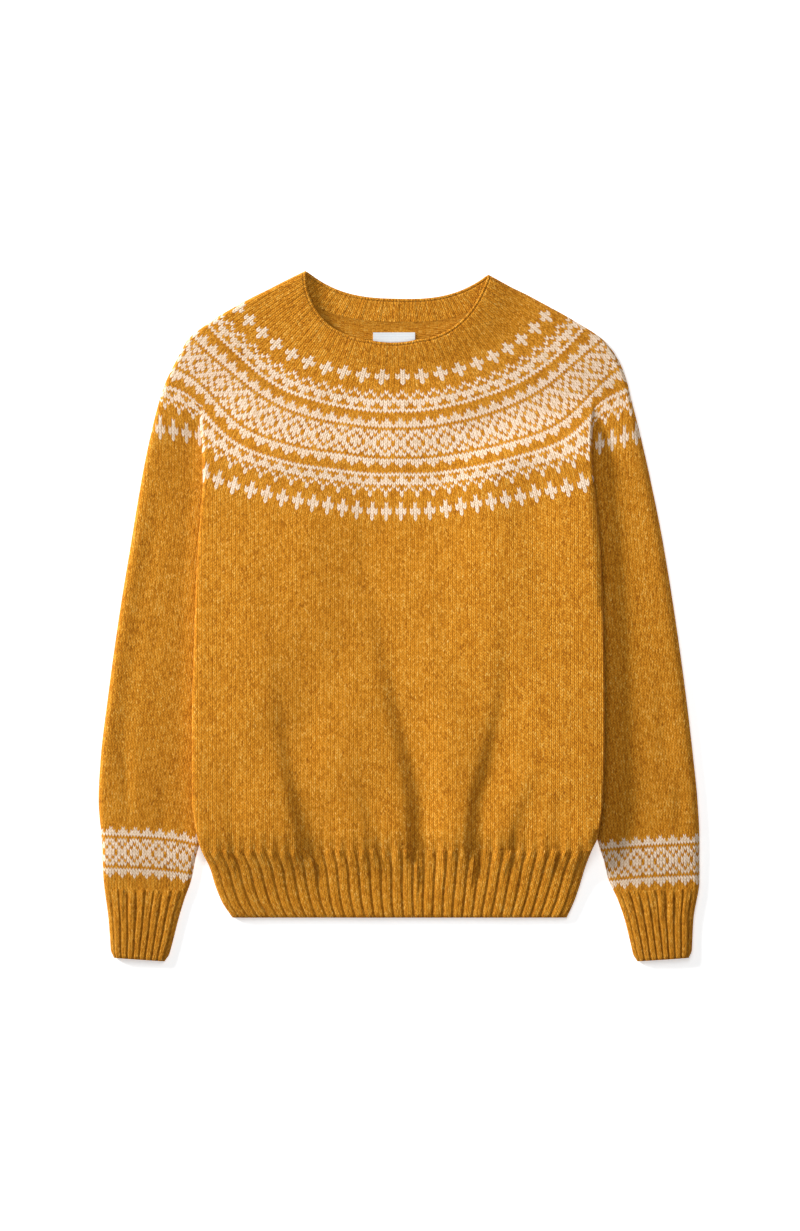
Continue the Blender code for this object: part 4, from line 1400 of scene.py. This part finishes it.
    def rib_shade(self, tree: Tree, u: Socket, v: Node, height: Node,
                  colour: Socket) -> tuple[Node, Socket]:
        """Sink the purl columns between ribs, and paint shade into them and into the holes of a linked edge.

        Args:
            tree: the material's nodes.
            u: the column of stitches.
            v: their row.
            height: the stitch's height.
            colour: the yarn's colour.

        Returns:
            The height and the colour, with the grooves sunk and painted with shade.
        """
        grooves = self.grooves
        part = add_node(tree, MATH, (u, 1.0 / grooves.stitches), operation="MULTIPLY")
        part = add_node(tree, MATH, (part,), operation="FRACT")
        off = add_node(tree, MATH, (part, 0.5), operation="SUBTRACT")
        off = add_node(tree, MATH, (off,), operation="ABSOLUTE")
        sunk = add_node(tree, STEP, (off, *grooves.edges), interpolation_type="SMOOTHSTEP")
        if grooves.grow:
            grown = add_node(tree, STEP, (v, 0.0, grooves.grow))
            sunk = add_node(tree, MATH, (sunk, grown), operation="MULTIPLY")
        lower = add_node(tree, MATH, (sunk, -grooves.depth, height), operation="MULTIPLY_ADD")
        # Painted shade in the sunk purl columns.
        shade = add_node(tree, MATH, (sunk, grooves.shade), operation="MULTIPLY")
        # The linked edge's holes are painted dark, as shade.
        if grooves.linked:
            off = add_node(tree, MATH, (v, grooves.hole_row), operation="SUBTRACT")
            off = add_node(tree, MATH, (off,), operation="ABSOLUTE")
            line = add_node(tree, STEP, (off, *grooves.hole_reach))
            cycle = add_node(tree, MATH, (u, 2.0 * grooves.holes * math.pi), operation="MULTIPLY")
            wave = add_node(tree, MATH, (cycle,), operation="COSINE")
            dots = add_node(tree, STEP, (wave, *grooves.hole_edges, *grooves.hole_shades))
            shade = add_node(tree, MATH, (line, dots, shade), operation="MULTIPLY_ADD")
        dark = add_node(tree, "ShaderNodeMix", {0: shade, 6: colour, 7: linear(self.main.shadow)},
                        data_type="RGBA")
        return lower, dark.outputs[2]


@dataclass(frozen=True)
class WovenTape:
    """Polyester label tape in plain weave, 0.4 mm threads: smooth, white, faintly ribbed across."""

    name: str = "label_tape"
    thread: float = 0.0004
    relief: float = 0.0002

    def build(self) -> Material:
        """Make the material on Object coordinates.

        Returns:
            The material.
        """
        material = new_material(self.name)
        tree = material.node_tree
        place = add_node(tree, "ShaderNodeTexCoord").outputs["Object"]
        weave = add_node(tree, "ShaderNodeTexWave", {"Vector": place, "Scale": 0.05 / self.thread},
                         bands_direction="Y")
        bump = add_node(tree, "ShaderNodeBump", {
            "Strength": 0.3, "Distance": self.relief, "Height": weave.outputs["Fac"]})
        mottle = add_node(tree, "ShaderNodeTexNoise", {"Vector": place, "Scale": 500.0})
        tint = add_node(tree, "ShaderNodeMix", {0: mottle, 6: linear("D6DADC"), 7: linear("C8CDD0")},
                        data_type="RGBA")
        shader = add_node(tree, "ShaderNodeBsdfPrincipled", {
            "Base Color": tint.outputs[2], "Normal": bump, "Roughness": 0.55, "Specular IOR Level": 0.4})
        add_node(tree, "ShaderNodeOutputMaterial", (shader,))
        return material


@dataclass
class Finishes:
    """The jumper's materials, each made once."""

    # Smooth columns of V stitches.
    plain: Material = field(default_factory=KnittedWool("ochre_stocking_stitch", Knit.PLAIN).build)
    # The same with the bands' light yarn, on the yoke and above each cuff.
    stranded: Material = field(
        default_factory=KnittedWool("fair_isle_stranded_wool", Knit.STRANDED, YOKE_CHART).build)
    banded: Material = field(
        default_factory=KnittedWool("fair_isle_cuff_band", Knit.STRANDED, CUFF_CHART).build)
    # Raised ribs between grooves painted dark as shade.
    rib: Material = field(default_factory=KnittedWool("ochre_rib", Knit.RIB).build)
    # Low ribs with shade painted into their grooves, and a row of small holes, painted dark, where the edge
    # was linked.
    neck_rib: Material = field(
        default_factory=KnittedWool("ochre_neck_rib", Knit.RIB, grooves=NECK_GROOVES).build)
    # The wrong side: level ridges, with less shade painted into their hollows.
    purl: Material = field(default_factory=KnittedWool("ochre_purl_inside", Knit.PURL, hollow_shade=0.35).build)
    tape: Material = field(default_factory=WovenTape().build)


# ------------------------------------------------------------------------------------------ the pieces


@dataclass(frozen=True)
class Cut:
    """The flat size that a piece was knitted to, in metres, and its area in square metres."""

    width: float
    length: float
    area: float


def dress(piece: bpy.types.Object, node: str, cut: Cut) -> None:
    """Args:
        piece: the cloth.
        node: the node that it replaces.
        cut: its flat size; not used.
    """
    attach(piece, "root")
    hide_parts(node)
    LOG.info("%s: %d faces", piece.name, len(piece.data.polygons))


@dataclass
class Yoke:
    """The circular yoke: its front, creased at each underarm, and its back."""

    finishes: Finishes
    columns: int = 216
    rows: int = 104
    margin: float = 0.012
    crowding: float = 4.0
    crowd_reach: float = 0.022
    back_columns: int = 110
    back_rows: int = 50
    roll: float = 5.0
    band_ends: tuple[float, float] = (80.2, 78.5)
    band_depth: float = 23.5
    back_dip: float = 38.0
    back_power: float = 2.8
    shoulder_power: float = 1.35
    shoulder_blend: float = 0.12
    crease_top: float = 300.0
    crease_reach: float = 0.3
    shoulder_swell: float = 2.2
    roll_gap: float = 0.5
    sleeve_rounds_top: float = 222.0
    inside_rows: float = 73.0
    inside_stitch: float = 3.9
    front_cut: Cut = Cut(0.530, 0.250, 0.105)
    back_cut: Cut = Cut(0.520, 0.250, 0.100)
    rounds: YokeRounds = YokeRounds()

    def sides(self, table: SideTable) -> list[float]:
        """The left and the right x of a pair of edges at the underarms."""
        return [float(table.at(LAY.underarm, side)) for side in Side]

    def foot(self, part: Array) -> Array:
        """The yoke's foot from one sleeve's outer edge to the other's.

        Args:
            part: parts across.

        Returns:
            x and y of each point.
        """
        left, right = self.sides(LAY.silhouette)
        x = left + (right - left) * np.asarray(part, float)
        return np.stack([x, LAY.body_top(x)], -1)

    def crease_parts(self) -> list[float]:
        """Parts across at which the body's two side folds begin."""
        left, right = self.sides(LAY.silhouette)
        return [(x - left) / (right - left) for x in self.sides(LAY.body)]

    def shoulder(self, side: Side) -> Edge:
        """The shoulder fold from the neckband's foot to the underarm level.

        Args:
            side: which shoulder.

        Returns:
            The edge, from part 0 to 1.
        """
        start = self.band_foot(np.array(0.0 if side is Side.LEFT else 1.0))
        aside = start[0] - LAY.silhouette.at(start[1], side)

        def run(part: Array) -> Array:
            """Place points of the fold.

            Args:
                part: parts along it.

            Returns:
                x and y of each point.
            """
            part = np.asarray(part, float)
            y = start[1] + (LAY.underarm - start[1]) * part ** self.shoulder_power
            x = LAY.silhouette.at(y, side) + aside * (1.0 - ease(0.0, self.shoulder_blend, part))
            return np.stack([x, y], -1)
        return run

    def band_foot(self, part: Array) -> Array:
        """The front neckband's foot."""
        return LAY.neck_arc(part, self.band_ends, self.band_depth)

    def back_foot(self) -> Edge:
        """The back neckband's foot."""
        return sagging(self.band_foot, self.back_dip, self.back_power)

    def below(self, top: Edge) -> Plan:
        """Plan from a top edge down to the yoke's foot, between the two shoulder folds."""
        return patch(top, self.foot, self.shoulder(Side.LEFT), self.shoulder(Side.RIGHT))

    def plan(self) -> Plan:
        """Lay out the front, with a line of points drawn onto each crease.

        Returns:
            The front's plan.
        """
        flat = self.below(self.band_foot)
        parts = self.crease_parts()

        def plan(across: Array, down: Array) -> Array:
            """Place points of the front.

            Args:
                across: parts across.
                down: parts down.

            Returns:
                x and y of each point.
            """
            points = flat(across, down)
            for side, part in zip(Side, parts):
                line = flat(np.full(np.shape(across), part), down)
                shift = LAY.creases.at(line[..., 1], side) - line[..., 0]
                shift = shift * ease(self.crease_top, LAY.crease_start, line[..., 1])
                first = side is Side.LEFT
                outwards = across / part if first else (1.0 - across) / (1.0 - part)
                reach = self.crease_reach if first else -self.crease_reach
                inwards = ease(part + reach, part, across)
                points[..., 0] += shift * np.where(outwards < 1.0, ease(0.0, 1.0, outwards), inwards)
            return points
        return plan

    def height(self, x: Array, y: Array) -> Array:
        """Height of the front: the body side steps up from the sleeve side at each crease.

        Args:
            x: the places.
            y: the same.

        Returns:
            The height at each place.
        """
        inwards = np.minimum(x - LAY.creases.at(y, Side.LEFT), LAY.creases.at(y, Side.RIGHT) - x)
        edge = np.where(x < 0, x - LAY.silhouette.at(y, Side.LEFT), LAY.silhouette.at(y, Side.RIGHT) - x)
        apart = ease(LAY.crease_start, LAY.crease_full, y)
        outwards = np.clip(edge / np.maximum(edge - inwards - LAY.sleeve_tuck * apart, 1.0), 0.0, 1.0)
        crown = LAY.crown(x, y, outwards)
        over = np.maximum(LAY.sleeve_swell * crown + LAY.rim(x, y), 0.0) + LAY.sleeve_ripple(x, y, crown)
        sleeve_side = LAY.pressed + (self.shoulder_swell * (1.0 - apart) + over * apart)
        drawn = 1.0 - np.clip(inwards / (LAY.body_roll + self.roll_gap), 0.0, 1.0)
        roll = np.sqrt(np.maximum(1.0 - drawn ** 2, 0.0))
        share = np.where(inwards < 0.0, 1.0 - apart, 1.0 - apart + apart * roll)
        return sleeve_side + (LAY.front(x, y) - sleeve_side) * share

    def stitch_maps(self, points: Array) -> tuple[list[Array], Array]:
        """Map the stitches of the yoke's outer face.

        Args:
            points: the face's points, rows by columns.

        Returns:
            The maps of the rounds, and which of them each face of the mesh reads.
        """
        x, y = points[..., 0], points[..., 1]
        body_maps = self.rounds.polar(x, y)
        sleeve_maps = self.rounds.over_sleeve(x, y)
        row, sleeve_row = face_middles(body_maps[0][..., 1]), face_middles(sleeve_maps[0][..., 1])
        x, y = face_middles(x), face_middles(y)
        pick = sum((row > zone.last_row).astype(int) for zone in self.rounds.zones[:-1])
        outside = (x < LAY.creases.at(y, Side.LEFT)) | (x > LAY.creases.at(y, Side.RIGHT))
        outside &= (y < self.sleeve_rounds_top) | (row > self.rounds.sleeve_rows[0])
        outside &= sleeve_row > self.rounds.sleeve_rows[0]
        sleeve_pick = len(body_maps) + (sleeve_row > self.rounds.zones[-2].last_row)
        return body_maps + sleeve_maps, np.where(outside, sleeve_pick, pick)

    def build(self) -> None:
        """Make the front and the back of the yoke."""
        columns = clustered(self.columns, self.crease_parts(), self.crowding, self.crowd_reach)
        loom = Loom(even(self.rows), inside(columns, self.margin), self.roll)
        outer, inner, _ = loom.upper(self.plan(), level(LAY.wall + LAY.seam), self.height)
        maps, pick = self.stitch_maps(outer)
        front = Wall("cloth_yoke_front", outer, inner, maps=maps, pick=pick)
        dress(front.build([self.finishes.stranded, self.finishes.purl]), "yoke_front",
              self.front_cut)
        loom = Loom(even(self.back_rows), even(self.back_columns), self.roll)
        outer, inner, parts = loom.lower(self.below(self.back_foot()), level(0.0))
        maps, pick = self.stitch_maps(outer)
        inside_map = np.stack([parts[..., 1] * self.inside_rows, outer[..., 0] / self.inside_stitch], -1)
        back = Wall("cloth_yoke_back", outer, inner, maps=[*maps, inside_map],
                    pick=np.full_like(pick, len(maps)), inner_pick=pick)
        dress(back.build([self.finishes.purl, self.finishes.stranded]), "yoke_back",
              self.back_cut)


@dataclass
class Neckband:
    """The neckband: a low rib round the front, and its back with the rib on the inside.

    The linked line is its place down the band, its width and its depth.
    """

    finishes: Finishes
    yoke: Yoke
    ends: tuple[float, float] = (84.8, 82.8)
    roll: float = 4.0
    back_dip: float = 26.0
    rows: tuple[float, ...] = (0, .02, .045, .07, .095, .11, .13, .15, .165, .19, .24, .35, .45, .55, .65,
                               .75, .85, .93, 1.0)
    rib_ramp: tuple[float, float] = (0.1, 0.25)
    edge_drop: float = 0.8
    edge_reach: float = 0.06
    linked_line: tuple[float, float, float] = (0.13, 0.03, 0.45)
    front_ribs: Ribs = Ribs(14, 0.03, 0.97, 0.2, 5, 8.0, (0.10, 0.24))
    back_ribs: Ribs = Ribs(11, 0.04, 0.96, 0.3, 5, 8.0, (0.10, 0.24))
    front_cut: Cut = Cut(0.290, 0.0235, 0.0066)
    back_cut: Cut = Cut(0.225, 0.0235, 0.0049)

    def neck_edge(self, part: Array) -> Array:
        """The front neck edge."""
        return LAY.neck_arc(part, self.ends, 0.0)

    def between(self, edge: Edge, foot: Edge) -> Plan:
        """Plan of a band between an edge and its foot."""
        zero, one = np.array(0.0), np.array(1.0)
        return patch(edge, foot, span(edge(zero), foot(zero)), span(edge(one), foot(one)))

    def relief(self, ribs: Ribs, across: Array, down: Array) -> Array:
        """Height over a flat band: its ribs, its rounded edge and the sunk line where it was linked.

        Args:
            ribs: the band's ribs.
            across: parts across.
            down: parts down.

        Returns:
            The height at each place.
        """
        place, width, depth = self.linked_line
        crest = ribs.relief * ribs.crest(across, 0.0 * across) * ease(*self.rib_ramp, down)
        return (crest - self.edge_drop * (1.0 - ease(0.0, self.edge_reach, down))
                - depth * bell(down, place, width))

    def build(self) -> None:
        """Make the front and the back of the neckband."""
        rows = np.array(self.rows)
        ribs = self.front_ribs
        outer, inner, parts = Loom(rows, ribs.columns(), self.roll).upper(
            self.between(self.neck_edge, self.yoke.band_foot), level(LAY.wall + LAY.seam), LAY.front,
            lambda across, down, y: self.relief(self.front_ribs, across, down))
        front = Wall("cloth_neckband_front", outer, inner, maps=[ribs.stitch_map(parts, 0.0 * outer[..., 1])])
        dress(front.build([self.finishes.neck_rib]), "neckband_front", self.front_cut)
        ribs = self.back_ribs
        columns = np.concatenate([(0.0,), ribs.columns(), (1.0,)])
        edge = sagging(self.neck_edge, self.back_dip, self.yoke.back_power)
        outer, inner, parts = Loom(rows, columns, self.roll).lower(
            self.between(edge, self.yoke.back_foot()), level(0.0))
        outer[..., 2] += self.relief(ribs, parts[..., 0], parts[..., 1])
        back = Wall("cloth_neckband_back", outer, inner, maps=[ribs.stitch_map(parts, 0.0 * outer[..., 1])])
        dress(back.build([self.finishes.neck_rib]), "neckband_back", self.back_cut)


@dataclass
class Body:
    """The body below the yoke: the front with its folds, over the back."""

    finishes: Finishes
    top: float = 136.0
    foot: float = -234.0
    columns: int = 168
    rows: int = 146
    margin: float = 0.024
    back_columns: int = 84
    back_rows: int = 70
    stitch: float = 3.8
    middle_stitch: float = 2.4
    first_row: float = 50.7
    whole_rows: float = 118.0
    yoke_rows: float = 51.0
    front_cut: Cut = Cut(0.412, 0.372, 0.140)
    back_cut: Cut = Cut(0.402, 0.372, 0.137)

    def line(self, y: float, y_of_x: Edge | None = None) -> Edge:
        """A line across, as wide as the body is at a height.

        Args:
            y: the height.
            y_of_x: how the line runs, where it isn't level.

        Returns:
            The line, from part 0 to 1.
        """
        left, right = (float(LAY.body.at(y, side)) for side in Side)

        def run(part: Array) -> Array:
            """Point on the line."""
            x = left + (right - left) * np.asarray(part, float)
            return np.stack([x, y_of_x(x) if y_of_x else y + 0.0 * x], -1)
        return run

    def plan(self) -> Plan:
        """Lay out the body between the yoke and the welt.

        Returns:
            The body's plan.
        """
        left, right = (edge_run(LAY.body, side, float(LAY.body_top(LAY.body.at(self.top, side))), self.foot)
                       for side in Side)
        return patch(self.line(self.top, LAY.body_top), self.line(self.foot), left, right)

    def stitch_map(self, points: Array) -> Array:
        """Map the plain stitches: rows bend with the yoke at the top and are level at the welt.

        Args:
            points: the face's points, rows by columns.

        Returns:
            The column and the row of stitches at each point.
        """
        x, y = points[..., 0], points[..., 1]
        start = LAY.body_top(x)
        row = self.first_row + (start - y) / (start - self.foot) * self.whole_rows
        return np.stack([(x - self.middle_stitch) / self.stitch, row], -1)

    def stitch_maps(self, points: Array) -> tuple[list[Array], Array]:
        """Map the front, whose first rows near the underarms still belong to the yoke's last crosses.

        Args:
            points: the face's points, rows by columns.

        Returns:
            The plain map and the yoke's, and which of them each face of the mesh reads.
        """
        last_rounds = YokeRounds().polar(points[..., 0], points[..., 1])[-1]
        pick = (face_middles(last_rounds[..., 1]) < self.yoke_rows).astype(int)
        return [self.stitch_map(points), last_rounds], pick

    def build(self) -> None:
        """Make the front and the back of the body."""
        plan = self.plan()
        loom = Loom(even(self.rows), inside(even(self.columns), self.margin), LAY.body_roll)
        outer, inner, _ = loom.upper(plan, LAY.back_rim, LAY.front)
        maps, pick = self.stitch_maps(outer)
        front = Wall("cloth_front_body", outer, inner, maps=maps, pick=pick)
        dress(front.build([self.finishes.stranded, self.finishes.purl]), "front_body",
              self.front_cut)
        loom = Loom(even(self.back_rows), even(self.back_columns), LAY.body_roll)
        outer, inner, _ = loom.lower(plan, LAY.lift)
        back = Wall("cloth_back_body", outer, inner, maps=[self.stitch_map(outer)])
        dress(back.build([self.finishes.purl, self.finishes.plain]), "back_body",
              self.back_cut)


@dataclass
class Welt:
    """The ribbed welt at the foot of the body."""

    finishes: Finishes
    body: Body
    foot: float = -302.0
    roll: float = 5.0
    ribs: Ribs = Ribs(33, 0.022, 0.978, 0.9, fade=9.0, fade_from=-232.0, wobble=0.022, steps=16)
    ground: float = 0.4
    ground_ramp: tuple[float, float] = (-234.0, -244.0)
    edge_drop: float = 1.1
    edge_start: float = 0.965
    even_to: float = 0.94
    rows: int = 30
    back_columns: int = 133
    back_rows: int = 20
    front_cut: Cut = Cut(0.392, 0.070, 0.0260)
    back_cut: Cut = Cut(0.388, 0.068, 0.0246)

    def plan(self) -> Plan:
        """Lay out the welt.

        Returns:
            The welt's plan.
        """
        top, foot = self.body.foot, self.foot
        left, right = (edge_run(LAY.body, side, top, foot) for side in Side)
        return patch(self.body.line(top), self.body.line(foot), left, right)

    def relief(self, across: Array, down: Array, y: Array) -> Array:
        """Ribs over a ground that sinks a little below the plain cloth, and the rounded cast-off edge."""
        ground = self.ground * ease(*self.ground_ramp, y)
        return self.ribs.raised(across, y) - ground - self.edge_drop * ease(self.edge_start, 1.0, down)

    def build(self) -> None:
        """Make the front and the back of the welt."""
        rows = np.concatenate([np.linspace(0.0, self.even_to, self.rows), (self.edge_start, *EDGE_ROWS)])
        outer, inner, parts = Loom(rows, self.ribs.columns(), self.roll).upper(
            self.plan(), LAY.back_rim, LAY.front, self.relief)
        front = Wall("cloth_hem_front", outer, inner, maps=[self.ribs.stitch_map(parts, outer[..., 1])])
        dress(front.build([self.finishes.rib]), "hem_front", self.front_cut)
        loom = Loom(even(self.back_rows), even(self.back_columns), self.roll)
        outer, inner, parts = loom.lower(self.plan(), LAY.lift)
        back = Wall("cloth_hem_back", outer, inner, maps=[self.ribs.stitch_map(parts, outer[..., 1])])
        dress(back.build([self.finishes.rib]), "hem_back", self.back_cut)


@dataclass
class Sleeve:
    """A sleeve with the band above its cuff, and the cuff."""

    finishes: Finishes
    side: Side
    band_line: tuple[tuple[float, float], ...]
    band_centre: float
    band_stitch: float
    lean: float
    name: str
    cut: Cut = Cut(0.290, 0.405, 0.092)
    cuff_cut: Cut = Cut(0.165, 0.070, 0.0100)
    roll: float = 5.0
    rows: int = 160
    columns: int = 62
    under_columns: int = 20
    margin: float = 0.052
    hidden_level: float = 108.0
    cuff_roll: float = 4.5
    cuff_under_columns: int = 33
    cuff_top: float = -273.0
    cuff_top_slant: float = 2.0
    cuff_foot: float = -342.0
    cuff_foot_slant: float = 4.0
    cuff_corner: float = 5.0
    cuff_even_to: float = 0.84
    cuff_rows: int = 24
    corner_start: float = 0.86
    corner_rows: int = 8
    ribs: Ribs = Ribs(8, 0.075, 0.925, 0.95, rows=25.0, fade=8.0, fade_from=-271.0, wobble=0.02, steps=18)
    ground: float = 0.3
    ground_reach: float = 0.1
    edge_drop: float = 0.9
    edge_start: float = 0.965
    # The band's rows, in mm: those above its first line, those between its lines and those below.
    line_row: float = 19.5
    row_heights: tuple[float, float, float] = (2.88, 3.333, 3.0)
    line_gap: float = 30.0
    stitch_growth: float = 0.0016

    def armhole(self, part: Array) -> Array:
        """The join with the yoke, from the sleeve's outer edge to its hidden inner one.

        Args:
            part: parts across.

        Returns:
            x and y of each point.
        """
        outer = float(LAY.silhouette.at(LAY.underarm, self.side))
        inner = float(LAY.inner.at(LAY.body_top(np.array(self.hidden_level)), self.side))
        x = outer + (inner - outer) * np.asarray(part, float)
        return np.stack([x, LAY.body_top(x)], -1)

    def cuff_line(self, y: float, slant: float) -> Edge:
        """A line across the cuff, lower on its inner side."""
        return span((float(LAY.silhouette.at(y, self.side)), y),
                    (float(LAY.inner.at(y - slant, self.side)), y - slant))

    def plan(self, top: Edge, foot: Edge, outer_top: float, outer_foot: float) -> Plan:
        """Lay out a tube between two lines.

        Args:
            top: the line at its top, from the outer edge inwards.
            foot: the same at its foot.
            outer_top: the y at which its outer edge starts.
            outer_foot: the y at which it ends.

        Returns:
            The tube's plan.
        """
        inner_top, inner_foot = (float(line(np.array(1.0))[1]) for line in (top, foot))
        return patch(top, foot, edge_run(LAY.silhouette, self.side, outer_top, outer_foot),
                     edge_run(LAY.inner, self.side, inner_top, inner_foot))

    def stitch_map(self, points: Array) -> Array:
        """Map the sleeve's stitches: wales run along the sleeve, and the band hangs level.

        Args:
            points: the face's points, rows by columns.

        Returns:
            The column and the row of stitches at each point.
        """
        x, y = points[..., 0], points[..., 1]
        line = np.array(self.band_line, float)
        line_y = smooth_read(line[:, 0], line[:, 1], x)
        above, under = (y - line_y).clip(0.0), (line_y - y).clip(0.0)
        pitch = self.band_stitch + self.stitch_growth * above
        axis = self.band_centre + self.lean * above
        over, between, below = self.row_heights
        row = (self.line_row - above / over + under.clip(None, self.line_gap) / between
               + (under - self.line_gap).clip(0.0) / below)
        return np.stack([(x - axis) / pitch, row], -1)

    def relief(self, across: Array, down: Array, y: Array) -> Array:
        """Ribs of the cuff over a slightly sunk ground, and the cast-off edge rounded over."""
        ground = self.ground * ease(0.0, self.ground_reach, down)
        return self.ribs.raised(across, y) - ground - self.edge_drop * ease(self.edge_start, 1.0, down)

    def build(self) -> None:
        """Make the sleeve and its cuff."""
        cuff_top = self.cuff_line(self.cuff_top, self.cuff_top_slant)
        cuff_foot = self.cuff_line(self.cuff_foot, self.cuff_foot_slant)
        loom = Loom(even(self.rows), inside(even(self.columns), self.margin), self.roll)
        outer, inner, _ = loom.tube(self.plan(self.armhole, cuff_top, LAY.underarm, self.cuff_top),
                                    LAY.sleeve, inside(even(self.under_columns), self.margin))
        wall = Wall(f"cloth_sleeve_{self.name}", outer, inner, closed=True, maps=[self.stitch_map(outer)])
        dress(wall.build([self.finishes.banded, self.finishes.purl]), f"sleeve_{self.name}",
              self.cut)
        rows = np.concatenate([np.linspace(0.0, self.cuff_even_to, self.cuff_rows),
                               np.linspace(self.corner_start, self.edge_start, self.corner_rows), EDGE_ROWS])
        outer, inner, parts = Loom(rows, self.ribs.columns(), self.cuff_roll).tube(
            self.plan(cuff_top, cuff_foot, self.cuff_top, self.cuff_foot), LAY.sleeve,
            inside(even(self.cuff_under_columns), self.ribs.start), self.cuff_corner, self.relief)
        wall = Wall(f"cloth_cuff_{self.name}", outer, inner, closed=True,
                    maps=[self.ribs.stitch_map(parts, outer[..., 1])])
        dress(wall.build([self.finishes.rib]), f"cuff_{self.name}", self.cuff_cut)


@dataclass
class Label:
    """The bare woven label inside the back."""

    finishes: Finishes
    width: float = 42.0
    height: float = 22.0
    middle: float = -5.0
    top: float = 284.0
    level: float = 2.72
    thick: float = 0.5
    wave: float = 0.25
    wave_runs: tuple[float, float] = (9.0, 7.0)
    steps: tuple[int, int] = (28, 14)
    sharp: float = 40.0

    def build(self) -> None:
        """Make the label from a plane, with soft waves and a thickness."""
        bpy.ops.object.select_all(action="DESELECT")
        bpy.ops.mesh.primitive_grid_add(x_subdivisions=self.steps[0], y_subdivisions=self.steps[1], size=1.0)
        piece = bpy.context.active_object
        piece.name = "woven_label"
        for point in piece.data.vertices:
            x, y = point.co.x * self.width, point.co.y * self.height
            lift = self.wave * math.sin(x / self.wave_runs[0]) * math.cos(y / self.wave_runs[1]) + self.wave
            point.co = ((self.middle + x) * MM, (self.top - self.height / 2 + y) * MM,
                        (self.level + lift) * MM)
        solid = piece.modifiers.new("thickness", "SOLIDIFY")
        solid.thickness = self.thick * MM
        solid.offset = 1.0
        bpy.ops.object.modifier_apply(modifier=solid.name)
        piece.data.materials.append(self.finishes.tape)
        bpy.ops.object.shade_smooth_by_angle(angle=math.radians(self.sharp))
        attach(piece, "root")
        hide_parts("neck_label")
        LOG.info("%s: %d faces", piece.name, len(piece.data.polygons))


@dataclass(frozen=True)
class Lamp:
    """A square soft light: its place and its side in metres, and its power in watts."""

    name: str
    place: tuple[float, float, float]
    side: float
    power: float

    def build(self) -> None:
        """Add the light, aimed at the jumper."""
        data = bpy.data.lights.new(self.name, "AREA")
        data.size, data.energy = self.side, self.power
        lamp = bpy.data.objects.new(self.name, data)
        lamp.location = self.place
        aim = -np.array(self.place)
        aim /= np.linalg.norm(aim)
        lamp.rotation_euler = (math.acos(-aim[2]), 0.0, math.atan2(aim[1], aim[0]) - math.pi / 2)
        lamp.visible_camera = False
        bpy.context.scene.collection.objects.link(lamp)


@dataclass
class Studio:
    """The pale floor, the soft light from the upper left, and the camera straight above, in metres."""

    reach: float = 3.0
    top: float = 0.008
    frame_height: float = 1.231
    centre: tuple[float, float] = (0.001, 0.0005)
    sensor: float = 36.0
    far: float = 50.0
    board_side: float = 12.0
    board_drop: float = 0.0004
    board_glow: float = 0.5
    air_glow: float = 0.22
    lamps: tuple[Lamp, ...] = (Lamp("key_light", (-7.2, 4.7, 2.6), 2.4, 1640.0),
                               Lamp("top_light", (0.03, 0.12, 0.66), 0.4, 2.25))

    def floor(self) -> None:
        """Make the floor just under the jumper."""
        bpy.ops.object.select_all(action="DESELECT")
        bpy.ops.mesh.primitive_plane_add(size=self.board_side, location=(0.0, 0.0, 0.0))
        floor = bpy.context.active_object
        floor.name = "floor"
        floor.data.transform(floor.matrix_world)
        for point in floor.data.vertices:
            point.co.z = -self.board_drop
        material = new_material("matt_white_board")
        tree = material.node_tree
        place = add_node(tree, "ShaderNodeTexCoord").outputs["Object"]
        grain = add_node(tree, "ShaderNodeTexNoise", {"Vector": place, "Scale": 40.0})
        tint = add_node(tree, "ShaderNodeMix", {0: grain, 6: linear("FAFAFA"), 7: linear("F7F7F7")},
                        data_type="RGBA")
        # The board glows a little, as a lit table does, which keeps it white under the jumper's shadow.
        shader = add_node(tree, "ShaderNodeBsdfPrincipled", {
            "Base Color": tint.outputs[2], "Roughness": 0.9, "Specular IOR Level": 0.1,
            "Emission Color": linear("FFFFFF"), "Emission Strength": self.board_glow})
        add_node(tree, "ShaderNodeOutputMaterial", (shader,))
        floor.data.materials.append(material)

    def build(self) -> None:
        """Set the floor, the lights and the camera."""
        self.floor()
        for lamp in self.lamps:
            lamp.build()
        world = bpy.data.worlds.new("studio_air")
        world.use_nodes = True
        air = world.node_tree.nodes["Background"]
        air.inputs[0].default_value = (1.0, 1.0, 1.0, 1.0)
        air.inputs[1].default_value = self.air_glow
        scene = bpy.context.scene
        scene.world = world
        scene.view_settings.view_transform = "Standard"
        data = bpy.data.cameras.new("camera")
        data.sensor_width = self.sensor
        data.lens = 0.5 * data.sensor_width * self.reach / (0.5 * self.frame_height)
        data.clip_end = self.far
        camera = bpy.data.objects.new("camera", data)
        camera.location = (*self.centre, self.reach + self.top)
        scene.collection.objects.link(camera)
        scene.camera = camera


def main() -> None:
    """Build the jumper and its studio in order."""
    logging.basicConfig(level=logging.INFO)
    finishes = Finishes()
    yoke = Yoke(finishes)
    body = Body(finishes)
    yoke.build()
    Neckband(finishes, yoke).build()
    body.build()
    Welt(finishes, body).build()
    Sleeve(finishes, Side.LEFT, ((-301, -220.2), (-297, -220.3), (-254.6, -221.8), (-229, -224.0),
                                 (-216, -226.0), (-202, -229.2)), -264.5, 3.06, 0.118, "left").build()
    Sleeve(finishes, Side.RIGHT, ((203, -234.7), (217, -233.0), (250.4, -230.2), (301, -227.8)),
           238.0, 3.03, -0.118, "right").build()
    Label(finishes).build()
    Studio().build()
    LOG.info("all pieces dressed")
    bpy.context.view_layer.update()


if __name__ == "__main__":
    main()
